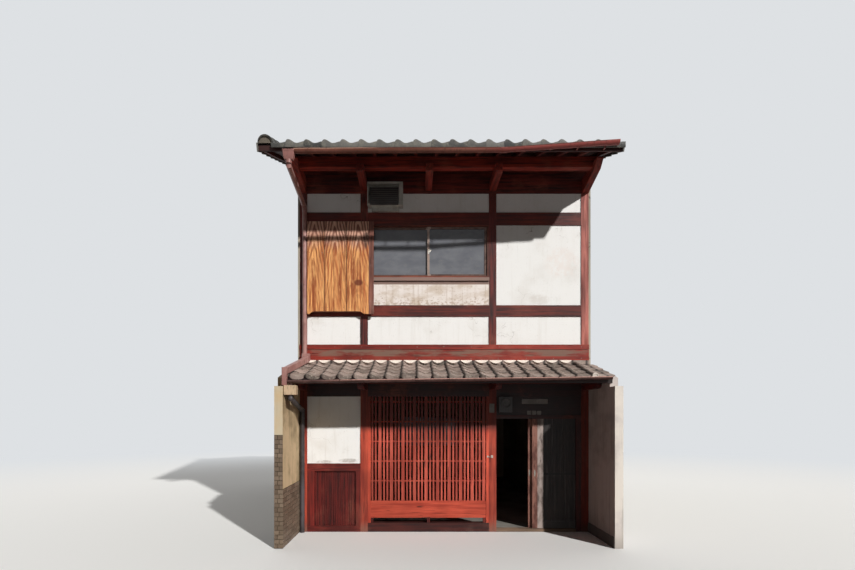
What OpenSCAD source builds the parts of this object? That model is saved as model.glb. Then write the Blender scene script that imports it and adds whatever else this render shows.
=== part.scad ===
// A two-storey timber townhouse, three bays wide, between two party walls.
// X runs along the street, Y into the house and Z up, in millimetres.
// The origin is at ground level, on the centre line of the front row of posts,
// halfway between the corner posts.

/* [Plan] */
// Width of the bay at the left, between post centres
bay_left_w = 956; // [850:1:1100]
// Width of the middle bay, between post centres
bay_mid_w = 2024; // [1900:1:2300]
// Width of the bay with the entrance, between post centres
bay_right_w = 1453; // [1400:1:1700]
// Depth of the house, from the front posts to the rear wall, between centre lines
house_d = 7190; // [6500:10:9000]
// Side of a square post
post_w = 115; // [105:1:125]
// Thickness of the clay core of a party wall
core_t = 75; // [60:1:100]
// Thickness of the outer coat of a party wall
coat_t = 30; // [20:1:45]

/* [Storeys] */
// Height of the front ground sill
sill_h = 142; // [120:1:170]
// Thickness of the floor on the ground
ground_floor_t = 50; // [30:1:80]
// Underside of the beam over the ground-floor bays
lintel_z = 2130; // [2100:1:2200]
// Height of that beam
lintel_h = 200; // [150:1:240]
// Height of the girder that carries the upper floor
girder_h = 410; // [360:1:450]
// Height of the rail at the foot of the upper wall
foot_rail_h = 205; // [180:1:230]
// Height of the lowest row of plaster panels
low_panel_h = 445; // [400:1:500]
// Height of the rail under the window
mid_rail_h = 178; // [150:1:200]
// Height of the apron board under the window
apron_h = 326; // [280:1:380]
// Height of the window, from the apron to the head beam
window_h = 934; // [850:1:1050]
// Height of the beam over the window
head_beam_h = 200; // [160:1:230]
// Height of the highest row of plaster panels
top_panel_h = 299; // [250:1:350]
// Height of the wall plate at its front face
plate_h = 513; // [420:1:560]

/* [Upper roof] */
// Rise of the roof for each unit of depth
roof_slope = 0.38; // [0.34:0.01:0.42]
// Reach of the front rafters past the posts
eave_reach = 1120; // [1000:10:1200]
// Reach of the rear rafters past the rear wall
rear_reach = 640; // [500:10:800]
// Width of a rafter
rafter_w = 45; // [40:1:55]
// Height of a rafter, measured upright
rafter_h = 55; // [50:1:70]
// Number of rafters on each slope
rafter_count = 16; // [12:1:18]
// Thickness of the roof boards, measured upright
board_t = 15; // [12:1:20]
// Pitch of the tiles along the eave
tile_pitch = 244.5; // [235:0.5:255]
// Thickness of a tile at the bottom of its pan
pan_t = 18; // [14:1:22]
// Height of the flat part of a tile
tile_flat_h = 38; // [34:1:42]
// Height of a tile at its crest
tile_crest_h = 62; // [58:1:66]
// Radius of the round verge roll at the left edge
verge_roll_r = 104; // [80:1:110]
// Reach of the roof past the left party wall
left_verge = 272; // [240:1:300]
// Reach of the roof past the right party wall
right_verge = 36; // [20:1:60]

/* [Eave timbers] */
// Reach of the purlin's front face past the posts
purlin_reach = 490; // [420:1:540]
// Width of the purlin
purlin_w = 95; // [80:1:110]
// Underside of the purlin, above the foot of the wall plate
purlin_up = 106; // [90:1:120]
// Width of a bracket arm
arm_w = 105; // [90:1:115]
// Reach of a bracket arm past the posts
arm_reach = 620; // [580:1:660]

/* [Pent roof] */
// Rise of the pent roof for each unit of depth
pent_slope = 0.30; // [0.26:0.01:0.32]
// Reach of the pent rafters past the posts
pent_reach = 870; // [800:10:900]
// Underside of the pent rafters at the wall
pent_z = 2570; // [2540:1:2590]
// Width of a pent rafter
pent_rafter_w = 38; // [34:1:45]
// Height of a pent rafter, measured upright
pent_rafter_h = 45; // [40:1:50]
// Number of pent rafters
pent_rafter_count = 15; // [12:1:18]
// Thickness of the pent boards, measured upright
pent_board_t = 12; // [10:1:15]
// Pitch of the pent tiles along the eave
pent_pitch = 222.5; // [215:0.5:230]
// Height of a pent tile at its crest
pent_crest_h = 52; // [46:1:56]
// Radius of the round roll at the right end of the pent tiles
pent_roll_r = 46; // [38:1:52]
// Side of the pent purlin
pent_purlin_w = 90; // [80:1:100]
// Reach of the pent purlin's front face past the posts
pent_purlin_reach = 545; // [500:1:600]

/* [Wing walls] */
// Reach of the wing walls past the posts
wing_reach = 1050; // [1030:5:1100]
// Thickness of a wing wall
wing_t = 115; // [100:1:130]
// Height of a wing wall at its front end
wing_h = 2225; // [2190:1:2240]

/* [Upper window] */
// Width of the window frame's sides
window_side = 33; // [28:1:40]
// Height of the window's sill
window_sill_h = 131; // [110:1:140]
// Reach of the sill's nose past the posts
sill_nose = 30; // [15:1:45]
// Width of a sash bar
sash_bar = 36; // [30:1:42]
// Thickness of a sash
sash_t = 26; // [22:1:30]
// Thickness of a window pane
pane_t = 4; // [3:0.5:6]

/* [Shutter box] */
// Width of the shutter box
shutter_w = 1037; // [1000:1:1060]
// Height of the shutter box
shutter_h = 1440; // [1400:1:1500]
// Depth of the shutter box
shutter_d = 100; // [90:1:120]
// Width of its open stile beside the window
shutter_stile = 76; // [60:1:90]
// Thickness of its boards
shutter_board_t = 15; // [12:1:20]
// Rise of the arch cut in the foot of the boards
shutter_arch = 32; // [20:1:45]

/* [Lattice] */
// Number of bar groups across the lattice
lattice_groups = 10; // [8:1:11]
// Width of a thin bar
thin_bar = 27; // [22:1:28]
// Width of a wide bar
wide_bar = 50; // [44:1:54]
// Depth of a bar
bar_d = 30; // [24:1:36]
// Width of the stiles beside the lattice
lattice_stile = 45; // [40:1:50]
// Height of a cross rail
cross_rail_h = 24; // [18:1:30]
// Number of cross rails
cross_rails = 5; // [3:1:6]
// Foot of the board under the lattice bars
lattice_board_z = 220; // [200:1:240]
// Height of that board
lattice_board_h = 268; // [240:1:300]

/* [Left bay] */
// Foot of the white panel in the left bay
bay_panel_z = 1076; // [1020:1:1120]
// Height of the rail under it
bay_rail_h = 123; // [100:1:140]
// Height of the foot rail
bay_foot_h = 94; // [80:1:110]
// Width of the left stile of the dado
dado_stile_left = 115; // [90:1:130]
// Width of the right stile of the dado
dado_stile_right = 75; // [60:1:90]
// Pitch of the dado's ribs
rib_pitch = 36; // [32:1:44]

/* [Entrance] */
// Width of the jamb beside the right corner post
jamb_w = 85; // [70:1:95]
// Height of the threshold
threshold_h = 45; // [35:1:55]
// Height of a door rail on the threshold
door_rail_h = 8; // [6:1:10]
// Width of a door rail
door_rail_w = 10; // [8:1:12]
// Underside of the door head
door_head_z = 1780; // [1750:1:1850]
// Height of the door head
door_head_h = 55; // [50:1:70]
// Width of a door leaf
leaf_w = 680; // [660:1:700]
// Thickness of a door leaf
leaf_t = 27; // [24:1:30]
// Distance between the two door tracks
track_pitch = 45; // [42:1:48]
// Clearance round the moving leaves
leaf_clear = 5; // [5:0.5:6]
// Running clearance between a leaf and its rail
rail_clear = 0.3; // [0.2:0.1:0.5]
// How far the leaves reach into the grooves of the head
leaf_bite = 12; // [10:1:14]
// How far the rear leaf stands out from behind the front leaf
rear_leaf_shift = 55; // [20:1:80]

/* [Rainwater] */
// Radius of the upper gutter
gutter_r = 50; // [45:1:55]
// Radius of the pent gutter
pent_gutter_r = 40; // [35:1:42]
// Thickness of the gutters' sheet
gutter_t = 3; // [2:0.5:4]
// Fall of a gutter from right to left
gutter_fall = 55; // [40:1:60]
// Radius of the rain pipes
pipe_r = 36; // [30:1:38]
// Thickness of an elbow socket round a rain pipe
elbow_t = 4; // [3:0.5:6]

/* [Hidden] */
$fn = 48;

half_post = post_w / 2;
front_y = -half_post;
rear_y = house_d + half_post;
ridge_y = house_d / 2;

// Post centre lines
half_w = (bay_left_w + bay_mid_w + bay_right_w) / 2;
post_1 = -half_w;
post_2 = post_1 + bay_left_w;
post_3 = post_2 + bay_mid_w;
post_4 = half_w;
post_lines = [post_1, post_2, post_3, post_4];
// Clear span of each bay, as [left, right]
left_bay = [post_1 + half_post, post_2 - half_post];
mid_bay = [post_2 + half_post, post_3 - half_post];
right_bay = [post_3 + half_post, post_4 - half_post];
bays = [left_bay, mid_bay, right_bay];

timber_x = half_w + half_post;
core_x = timber_x - core_t;
wall_x = timber_x + coat_t;

// Levels, from the ground up
girder_z = lintel_z + lintel_h;
foot_rail_z = girder_z + girder_h;
low_panel_z = foot_rail_z + foot_rail_h;
mid_rail_z = low_panel_z + low_panel_h;
apron_z = mid_rail_z + mid_rail_h;
window_z = apron_z + apron_h;
head_beam_z = window_z + window_h;
top_panel_z = head_beam_z + head_beam_h;
plate_z = top_panel_z + top_panel_h;
rafter_z = plate_z + plate_h;

// Underside of the rafters at a depth y, on either slope
function rafter_under(y) = rafter_z + roof_slope * min(y - front_y, rear_y - y);
// Underside and top of the roof boards
function board_under(y) = rafter_under(y) + rafter_h;
function board_top(y) = board_under(y) + board_t;
// Underside of the pent rafters at a reach p past the posts
function pent_under(p) = pent_z - pent_slope * p;
function pent_board_under(p) = pent_under(p) + pent_rafter_h;
function pent_board_top(p) = pent_board_under(p) + pent_board_t;

roof_angle = atan(roof_slope);
pent_angle = atan(pent_slope);

// How far the panels stand back from the timbers
panel_back = 15;
panel_t = 75;
// Boarding at the eaves
fascia_t = 24;
fascia_drop = 22;
tile_nose = 36;

module at_box(x, y, z) {
    translate([x[0], y[0], z[0]])
        cube([x[1] - x[0], y[1] - y[0], z[1] - z[0]]);
}

// A profile in the Y-Z plane, drawn as [y, z] points, run along X
module run_x(x, points) {
    translate([x[0], 0, 0])
        rotate([90, 0, 90])
        linear_extrude(x[1] - x[0])
        polygon(points);
}

// A round pipe through a list of points, with a round elbow socket at each bend
module pipe(points, r) {
    for (i = [0:len(points) - 2])
        let (a = points[i], d = points[i + 1] - a) {
            translate(a)
                rotate([0, acos(d[2] / norm(d)), atan2(d[1], d[0])])
                cylinder(h = norm(d), r = r);
            if (i > 0) translate(a) sphere(r = r + elbow_t);
        }
}

/* Ground and floors */

module ground_floor() {
    color([0.55, 0.53, 0.5])
        at_box([-core_x, core_x], [half_post, house_d - half_post], [0, ground_floor_t]);
}

module front_sill() {
    color([0.45, 0.13, 0.1])
        at_box(mid_bay, [front_y, half_post], [0, sill_h]);
}

floor_board_t = 30;
joist_w = 120;
joist_h = 180;
joist_count = 7;

floor_rise = 20;
upper_floor_z = foot_rail_z + floor_rise;
floor_span = [half_post, house_d - half_post];

module upper_floor() {
    color([0.5, 0.38, 0.25])
        at_box([-core_x, core_x], floor_span, [upper_floor_z - floor_board_t, upper_floor_z]);
}

module floor_joists() {
    step = (floor_span[1] - floor_span[0]) / (joist_count + 1);
    top = upper_floor_z - floor_board_t;
    color([0.45, 0.33, 0.22])
        for (i = [1:joist_count])
            let (y = floor_span[0] + i * step)
                at_box([-core_x, core_x], [y - joist_w / 2, y + joist_w / 2], [top - joist_h, top]);
}

/* Front wall */

module front_posts() {
    color([0.5, 0.14, 0.11])
        for (x = post_lines)
            at_box([x - half_post, x + half_post], [front_y, half_post], [0, plate_z]);
}

// One rail between the posts in every bay
module bay_rails(z, h) {
    for (bay = bays)
        at_box(bay, [front_y, half_post], [z, z + h]);
}

module lintel_beam() {
    color([0.2, 0.06, 0.05]) bay_rails(lintel_z, lintel_h);
}

module floor_girder() {
    color([0.4, 0.12, 0.1]) bay_rails(girder_z, girder_h);
}

module wall_rails() {
    color([0.55, 0.16, 0.12]) {
        bay_rails(foot_rail_z, foot_rail_h);
        bay_rails(mid_rail_z, mid_rail_h);
        bay_rails(head_beam_z, head_beam_h);
    }
}

// Three boards that cover the foot of the upper wall, from the pent tiles up
skirt_t = 22;
skirt_low_h = 61;
skirt_mid_h = 107;
skirt_top_h = 73;
skirt_joint = 5;

module skirt_boards() {
    z2 = low_panel_z - skirt_top_h;
    z1 = z2 - skirt_joint - skirt_mid_h;
    z0 = z1 - skirt_low_h;
    span = [-timber_x, timber_x];
    color([0.58, 0.18, 0.14]) {
        at_box(span, [front_y - skirt_t, front_y], [z2, low_panel_z]);
        at_box(span, [front_y - skirt_t, front_y], [z0, z1]);
        at_box(span, [front_y - skirt_t * 0.6, front_y], [z1, z2 - skirt_joint]);
    }
}

module panel(x, z) {
    at_box(x, [front_y + panel_back, front_y + panel_back + panel_t], z);
}

module plaster_panels() {
    color([0.93, 0.92, 0.88]) {
        for (bay = bays) {
            panel(bay, [low_panel_z, mid_rail_z]);
            panel(bay, [top_panel_z, plate_z]);
        }
        panel(left_bay, [apron_z, head_beam_z]);
        panel(right_bay, [apron_z, head_beam_z]);
        at_box(mid_bay, [front_y + apron_t, front_y + panel_back + panel_t], [apron_z, window_z]);
    }
}

apron_t = 20;

module apron_board() {
    color([0.86, 0.83, 0.76])
        at_box(mid_bay, [front_y, front_y + apron_t], [apron_z, window_z]);
}

/* Party walls and rear wall */

module party_wall(side) {
    core = side > 0 ? [core_x, timber_x] : [-timber_x, -core_x];
    coat = side > 0 ? [timber_x, wall_x] : [-wall_x, -timber_x];
    inner_y = [half_post, house_d - half_post];
    run_x(core, [
        [inner_y[0], 0], [inner_y[1], 0], [inner_y[1], rafter_under(inner_y[1])],
        [ridge_y, rafter_under(ridge_y)], [inner_y[0], rafter_under(inner_y[0])]
    ]);
    run_x(coat, [
        [front_y, 0], [rear_y, 0], [rear_y, board_under(rear_y)],
        [ridge_y, board_under(ridge_y)], [front_y, board_under(front_y)]
    ]);
}

module left_party_wall() {
    color([0.82, 0.78, 0.7]) party_wall(-1);
}

module right_party_wall() {
    color([0.82, 0.78, 0.7]) party_wall(1);
}

// The rear wall repeats the window row of the front on both storeys
rear_window_w = bay_mid_w - post_w;
rear_window_x = [-rear_window_w / 2, rear_window_w / 2];
rear_low_sill = 950;
rear_low_z = [rear_low_sill, rear_low_sill + window_h];
rear_high_z = [window_z, head_beam_z];

module rear_wall() {
    color([0.9, 0.88, 0.83])
        difference() {
            at_box([-timber_x, timber_x], [house_d - half_post, rear_y], [0, plate_z]);
            for (z = [rear_low_z, rear_high_z])
                at_box(rear_window_x, [house_d - post_w, rear_y + post_w], z);
        }
}

rear_timber_t = 18;

module rear_timbers() {
    face = [rear_y, rear_y + rear_timber_t];
    color([0.4, 0.2, 0.15]) {
        for (x = [-timber_x, -rear_window_w / 2 - post_w, rear_window_w / 2,
                  timber_x - post_w])
            at_box([x, x + post_w], face, [0, plate_z]);
        for (z = [[0, sill_h], [lintel_z, foot_rail_z],
                  [mid_rail_z, apron_z], [head_beam_z, top_panel_z]])
            at_box([-timber_x, timber_x], face, z);
    }
}

module window_ring(x, y, z, bar) {
    difference() {
        at_box(x, y, z);
        at_box([x[0] + bar, x[1] - bar], [y[0] - 1, y[1] + 1], [z[0] + bar, z[1] - bar]);
    }
}

module rear_window_frames() {
    color([0.35, 0.25, 0.18])
        for (z = [rear_low_z, rear_high_z])
            difference() {
                at_box(rear_window_x, [house_d - half_post, rear_y], z);
                for (side = [-1, 1])
                    translate([side * (rear_window_w / 4 - sash_bar / 4), 0, 0])
                        at_box([-rear_window_w / 4 + sash_bar * 0.75,
                                rear_window_w / 4 - sash_bar * 0.75],
                               [house_d - post_w, rear_y + post_w],
                               [z[0] + sash_bar, z[1] - sash_bar]);
            }
}

module rear_window_glass() {
    color([0.5, 0.6, 0.65, 0.5])
        for (z = [rear_low_z, rear_high_z], side = [-1, 1])
            translate([side * (rear_window_w / 4 - sash_bar / 4), 0, 0])
                at_box([-rear_window_w / 4 + sash_bar * 0.75,
                        rear_window_w / 4 - sash_bar * 0.75],
                       [house_d, house_d + pane_t],
                       [z[0] + sash_bar, z[1] - sash_bar]);
}

/* Roof carpentry */

ridge_beam_w = 120;
ridge_beam_h = 240;

module roof_beams() {
    color([0.35, 0.11, 0.09]) {
        run_x([-timber_x, timber_x], [
            [front_y, plate_z], [half_post, plate_z],
            [half_post, rafter_under(half_post)], [front_y, rafter_under(front_y)]
        ]);
        run_x([-timber_x, timber_x], [
            [house_d - half_post, plate_z], [rear_y, plate_z],
            [rear_y, rafter_under(rear_y)], [house_d - half_post, rafter_under(house_d - half_post)]
        ]);
        run_x([-core_x, core_x], [
            [ridge_y - ridge_beam_w / 2, rafter_under(ridge_y) - ridge_beam_h],
            [ridge_y + ridge_beam_w / 2, rafter_under(ridge_y) - ridge_beam_h],
            [ridge_y + ridge_beam_w / 2, rafter_under(ridge_y + ridge_beam_w / 2)],
            [ridge_y, rafter_under(ridge_y)],
            [ridge_y - ridge_beam_w / 2, rafter_under(ridge_y - ridge_beam_w / 2)]
        ]);
    }
}

// A band that follows one slope from the eave to the ridge
module slope_band(x, eave_y, low, high) {
    run_x(x, [
        [eave_y, low(eave_y)], [ridge_y, low(ridge_y)],
        [ridge_y, high(ridge_y)], [eave_y, high(eave_y)]
    ]);
}

rafter_step = (2 * timber_x - rafter_w) / (rafter_count - 1);

// The rafters of one slope, the first of them under the left verge
module rafters(eave_y) {
    lines = concat([-wall_x - left_verge],
                   [for (i = [0:rafter_count - 1]) -timber_x + i * rafter_step]);
    for (x = lines)
        slope_band([x, x + rafter_w], eave_y,
                   function (y) rafter_under(y), function (y) board_under(y));
}

module front_rafters() {
    color([0.3, 0.1, 0.08]) rafters(front_y - eave_reach);
}

module rear_rafters() {
    color([0.3, 0.1, 0.08]) rafters(rear_y + rear_reach);
}

// Roof boards, with the fascia that closes the rafter ends
module roof_boards(eave_y, out) {
    x = [-wall_x - left_verge, wall_x + right_verge];
    fascia_y = eave_y + out * fascia_t;
    slope_band(x, fascia_y, function (y) board_under(y), function (y) board_top(y));
    run_x(x, [
        [eave_y, rafter_under(eave_y) - fascia_drop],
        [fascia_y, rafter_under(eave_y) - fascia_drop],
        [fascia_y, board_under(fascia_y)],
        [eave_y, board_under(eave_y)]
    ]);
}

module front_roof_boards() {
    color([0.35, 0.12, 0.1]) roof_boards(front_y - eave_reach, -1);
}

module rear_roof_boards() {
    color([0.35, 0.12, 0.1]) roof_boards(rear_y + rear_reach, 1);
}

// Cross section of a row of pan tiles, lying on y = 0
module tile_row(pitch, count, flat_h, crest_h, pan) {
    width = pitch * count;
    crest_r = (crest_h - pan) * 0.82;
    pan_r = pitch * 0.53;
    difference() {
        translate([-width / 2, 0]) square([width, flat_h]);
        for (i = [0:count - 1])
            translate([-width / 2 + (i + 0.5) * pitch + crest_r / 2, pan + pan_r])
                circle(r = pan_r);
    }
    for (i = [0:count - 1])
        intersection() {
            translate([-width / 2 + i * pitch + crest_r, crest_h - crest_r]) circle(r = crest_r);
            translate([-width / 2 + i * pitch, pan * 0.5]) square([2 * crest_r, crest_h]);
        }
}

tile_count = floor(2 * wall_x / tile_pitch);
tile_half = tile_pitch * tile_count / 2;

// Gap between tiles and boards, and between other pieces that only rest on each other
seat_gap = 0.3;

// Places a cross section on the boards, run down one slope between two distances from the ridge
module down_slope(eave_y, start = 0, end = 0) {
    run = end > 0 ? end : abs(ridge_y - eave_y) / cos(roof_angle);
    translate([0, ridge_y, board_top(ridge_y)])
        mirror([0, eave_y > ridge_y ? 1 : 0, 0])
        rotate([roof_angle, 0, 0])
        rotate([90, 0, 0])
        translate([0, seat_gap, start])
        linear_extrude(run - start)
        children();
}

front_tile_y = front_y - eave_reach - fascia_t - tile_nose;
rear_tile_y = rear_y + rear_reach + fascia_t + tile_nose;

module front_roof_tiles() {
    color([0.38, 0.37, 0.35])
        down_slope(front_tile_y)
        tile_row(tile_pitch, tile_count, tile_flat_h, tile_crest_h, pan_t);
}

module rear_roof_tiles() {
    color([0.38, 0.37, 0.35])
        down_slope(rear_tile_y)
        tile_row(tile_pitch, tile_count, tile_flat_h, tile_crest_h, pan_t);
}

verge_drop = 90;
verge_edge_t = 18;
ridge_half = 140;
ridge_course_h = 150;
ridge_cap_r = 72;
ridge_end_t = 60;
ridge_end_rim = 26;
ridge_left = -wall_x - left_verge;
ridge_right = wall_x + right_verge;

// Verge tiles: a big roll at the left edge, a plain drop edge at the right.
// The drop edges stop short of each other under the ridge, and the roll stops in front of it.
module verge_tiles() {
    start = verge_drop * tan(roof_angle) + 2;
    roll_start = (ridge_half + verge_roll_r * sin(roof_angle)) / cos(roof_angle);
    color([0.33, 0.32, 0.3])
        for (eave_y = [front_tile_y, rear_tile_y]) {
            down_slope(eave_y, start) {
                translate([ridge_left - verge_edge_t, 0])
                    square([-tile_half - seat_gap - ridge_left + verge_edge_t, pan_t]);
                translate([ridge_left - verge_edge_t, -verge_drop])
                    square([verge_edge_t, verge_drop]);
                translate([tile_half + seat_gap, 0])
                    square([ridge_right - tile_half - seat_gap + verge_edge_t, tile_flat_h]);
                translate([ridge_right, -verge_drop])
                    square([verge_edge_t, verge_drop]);
            }
            down_slope(eave_y, roll_start)
                intersection() {
                    translate([ridge_left + verge_roll_r, pan_t]) circle(r = verge_roll_r);
                    translate([ridge_left - 1, pan_t / 2]) square(3 * verge_roll_r);
                }
            down_slope(eave_y, start, roll_start) {
                translate([ridge_left - verge_edge_t, 0])
                    square([-tile_half - seat_gap - ridge_left + verge_edge_t, tile_crest_h]);
                translate([tile_half + seat_gap, 0])
                    square([ridge_right - tile_half - seat_gap + verge_edge_t, tile_crest_h]);
            }
        }
}

// The ridge: flat courses under a round cap, with a rounded end tile on each gable
module ridge_tiles() {
    function crest(y) = board_top(y) + (tile_crest_h + 2 * seat_gap) / cos(roof_angle);
    top_z = crest(ridge_y) + ridge_course_h;
    end_r = ridge_cap_r + ridge_end_rim;
    color([0.33, 0.32, 0.3]) {
        run_x([ridge_left, ridge_right], [
            [ridge_y - ridge_half, crest(ridge_y - ridge_half)],
            [ridge_y, crest(ridge_y)],
            [ridge_y + ridge_half, crest(ridge_y + ridge_half)],
            [ridge_y + ridge_half * 0.75, top_z],
            [ridge_y - ridge_half * 0.75, top_z]
        ]);
        translate([ridge_left, ridge_y, top_z])
            rotate([0, 90, 0])
            cylinder(h = ridge_right - ridge_left, r = ridge_cap_r);
        for (x = [ridge_left, ridge_right - ridge_end_t])
            translate([x, ridge_y, top_z])
                rotate([90, 0, 90])
                linear_extrude(ridge_end_t) {
                    circle(r = end_r);
                    polygon([
                        [-end_r * 0.9, -end_r * 0.43], [end_r * 0.9, -end_r * 0.43],
                        [ridge_half * 1.05, -ridge_course_h], [-ridge_half * 1.05, -ridge_course_h]
                    ]);
                }
    }
}

/* Upper eave */

function arm_under(p) =
    p < purlin_reach ? plate_z + (purlin_up + 34) * p / purlin_reach
                     : plate_z + purlin_up + 34 + 0.72 * (p - purlin_reach);

module eave_brackets() {
    arm_top = plate_z + 235;
    purlin_back = purlin_reach - purlin_w;
    lines = concat(post_lines, [(post_2 + post_3) / 2]);
    color([0.4, 0.12, 0.09])
        for (x = lines)
            let (c = max(min(x, timber_x - arm_w / 2), -timber_x + arm_w / 2))
                difference() {
                    run_x([c - arm_w / 2, c + arm_w / 2], [
                        [front_y, arm_under(0)],
                        [front_y - purlin_reach, arm_under(purlin_reach)],
                        [front_y - arm_reach, arm_under(arm_reach)],
                        [front_y - arm_reach, arm_top],
                        [front_y, arm_top]
                    ]);
                    at_box([c - arm_w, c + arm_w],
                           [front_y - purlin_reach, front_y - purlin_back],
                           [plate_z + purlin_up, rafter_z]);
                }
}

module eave_purlin() {
    back_y = front_y - purlin_reach + purlin_w;
    nose_y = front_y - purlin_reach;
    color([0.5, 0.16, 0.11])
        run_x([-timber_x, timber_x], [
            [nose_y, plate_z + purlin_up], [back_y, plate_z + purlin_up],
            [back_y, rafter_under(back_y)], [nose_y, rafter_under(nose_y)]
        ]);
}

vent_w = 550;
vent_d = 150;
vent_h = 355;
// How far the ventilator hangs below the wall plate
vent_hang = 237;
vent_wall_t = 14;
vent_rim = 26;
vent_right_rim = 60;
vent_slats = 9;
vent_slat_t = 4;
vent_slat_drop = 18;
vent_slat_run = 22;
vent_support = 60;

// A louvred ventilator that hangs on the wall, over a short timber support
module ventilator() {
    x0 = post_2 + half_post + 4;
    nose_y = front_y - vent_d;
    z0 = plate_z - vent_hang;
    opening_x = [x0 + vent_wall_t, x0 + vent_w - vent_right_rim];
    opening_z = [z0 + vent_rim, z0 + vent_h - vent_rim];
    step = (opening_z[1] - opening_z[0]) / vent_slats;
    color([0.75, 0.75, 0.72]) {
        difference() {
            at_box([x0, x0 + vent_w], [nose_y, front_y], [z0, z0 + vent_h]);
            at_box(opening_x, [nose_y - 1, nose_y + vent_d / 2], opening_z);
        }
        for (i = [0:vent_slats - 1])
            let (y = nose_y + 6, z = opening_z[0] + 5 + i * step)
                run_x(opening_x, [
                    [y, z], [y + vent_slat_t, z],
                    [y + vent_slat_t + vent_slat_run, z + vent_slat_drop],
                    [y + vent_slat_run, z + vent_slat_drop]
                ]);
        at_box([x0 + vent_support, x0 + vent_w - vent_support],
               [front_y - vent_support, front_y], [z0 - vent_support, z0]);
    }
}

/* Upper window */

window_x = [mid_bay[0] + window_side, mid_bay[1] - window_side];
glass_z = [window_z + window_sill_h, head_beam_z - 18];
frame_back = front_y + 95;
sash_w = (window_x[1] - window_x[0] + sash_bar) / 2;
sash_front_y = front_y + 22;

module window_frame() {
    color([0.42, 0.2, 0.14]) {
        difference() {
            at_box(mid_bay, [front_y, frame_back], [window_z, head_beam_z]);
            at_box(window_x, [front_y - 1, frame_back + 1], glass_z);
        }
        at_box(mid_bay, [front_y - sill_nose, front_y], [window_z + 54, glass_z[0]]);
    }
}

module sash(x0, y0) {
    window_ring([x0, x0 + sash_w], [y0, y0 + sash_t], glass_z, sash_bar);
}

// The right sash runs in front of the left one
module window_sashes() {
    color([0.45, 0.4, 0.36]) {
        sash(window_x[1] - sash_w, sash_front_y);
        sash(window_x[0], sash_front_y + sash_t + 2);
    }
}

module pane(x0, y0) {
    at_box([x0 + sash_bar, x0 + sash_w - sash_bar],
           [y0 + (sash_t - pane_t) / 2, y0 + (sash_t + pane_t) / 2],
           [glass_z[0] + sash_bar, glass_z[1] - sash_bar]);
}

module window_glass() {
    color([0.5, 0.6, 0.65, 0.5]) {
        pane(window_x[1] - sash_w, sash_front_y);
        pane(window_x[0], sash_front_y + sash_t + 2);
    }
}

/* Shutter box */

shutter_x = [mid_bay[0] + 100 - shutter_w, mid_bay[0] + 100];
shutter_z = [head_beam_z + 22 - shutter_h, head_beam_z + 22];
shutter_y = [front_y - shutter_d, front_y];
shutter_front = [shutter_y[0], shutter_y[0] + shutter_board_t];

module shutter_box() {
    inner_y = [shutter_front[1], shutter_y[1]];
    color([0.5, 0.2, 0.13]) {
        at_box([shutter_x[0], shutter_x[0] + 20], inner_y, shutter_z);
        at_box(shutter_x, inner_y, [shutter_z[1] - 20, shutter_z[1]]);
        at_box(shutter_x, inner_y, [shutter_z[0] + shutter_arch + 12, shutter_z[0] + shutter_arch + 32]);
        at_box([shutter_x[1] - shutter_stile, shutter_x[1]],
               [shutter_y[0], shutter_y[0] + 32], shutter_z);
    }
}

// Three upright boards with one shallow arch cut in their feet
module shutter_boards() {
    width = shutter_x[1] - shutter_stile - shutter_x[0];
    board_w = width / 3;
    joint = 1;
    arch_span = width - 160;
    arch_r = (arch_span * arch_span / 4 + shutter_arch * shutter_arch) / (2 * shutter_arch);
    color([0.84, 0.5, 0.27])
        difference() {
            for (i = [0:2])
                at_box([shutter_x[0] + i * board_w, shutter_x[0] + (i + 1) * board_w - joint],
                       shutter_front, shutter_z);
            translate([shutter_x[0] + width / 2, shutter_front[1] + 1,
                       shutter_z[0] + shutter_arch - arch_r])
                rotate([90, 0, 0])
                cylinder(h = shutter_board_t + 2, r = arch_r, $fn = 96);
        }
}

/* Left bay on the ground floor */

module bay_panel() {
    color([0.92, 0.91, 0.88])
        panel(left_bay, [bay_panel_z, lintel_z]);
}

dado_z = [bay_foot_h, bay_panel_z - bay_rail_h];
dado_x = [left_bay[0] + dado_stile_left, left_bay[1] - dado_stile_right];

module dado_frame() {
    color([0.5, 0.14, 0.11])
        difference() {
            at_box(left_bay, [front_y, half_post], [0, bay_panel_z]);
            at_box(dado_x, [front_y - 1, half_post + 1], dado_z);
        }
}

// Ribbed boarding, drawn as a comb in plan
module dado_boards() {
    width = dado_x[1] - dado_x[0];
    ribs = floor(width / rib_pitch);
    step = width / ribs;
    back = 40;
    rib = 9;
    color([0.5, 0.13, 0.11])
        translate([dado_x[0], front_y + back, dado_z[0]])
        linear_extrude(dado_z[1] - dado_z[0]) {
            square([width, 20]);
            for (i = [0:ribs - 1])
                translate([(i + 0.5) * step - 10, -rib]) square([20, rib]);
        }
}

/* Lattice bay */

lattice_x = [mid_bay[0] + lattice_stile, mid_bay[1] - lattice_stile];
bar_z = [lattice_board_z + lattice_board_h, lintel_z];
bar_y = [front_y + 6, front_y + 6 + bar_d];
cross_y = [bar_y[1] - 10, bar_y[1] + 14];

module lattice_frame() {
    color([0.5, 0.14, 0.1]) {
        for (x = [[mid_bay[0], lattice_x[0]], [lattice_x[1], mid_bay[1]]])
            at_box(x, [front_y, front_y + 70], [sill_h, lintel_z]);
        at_box(lattice_x, [front_y + 8, front_y + 40], [lattice_board_z, bar_z[0]]);
    }
}

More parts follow.
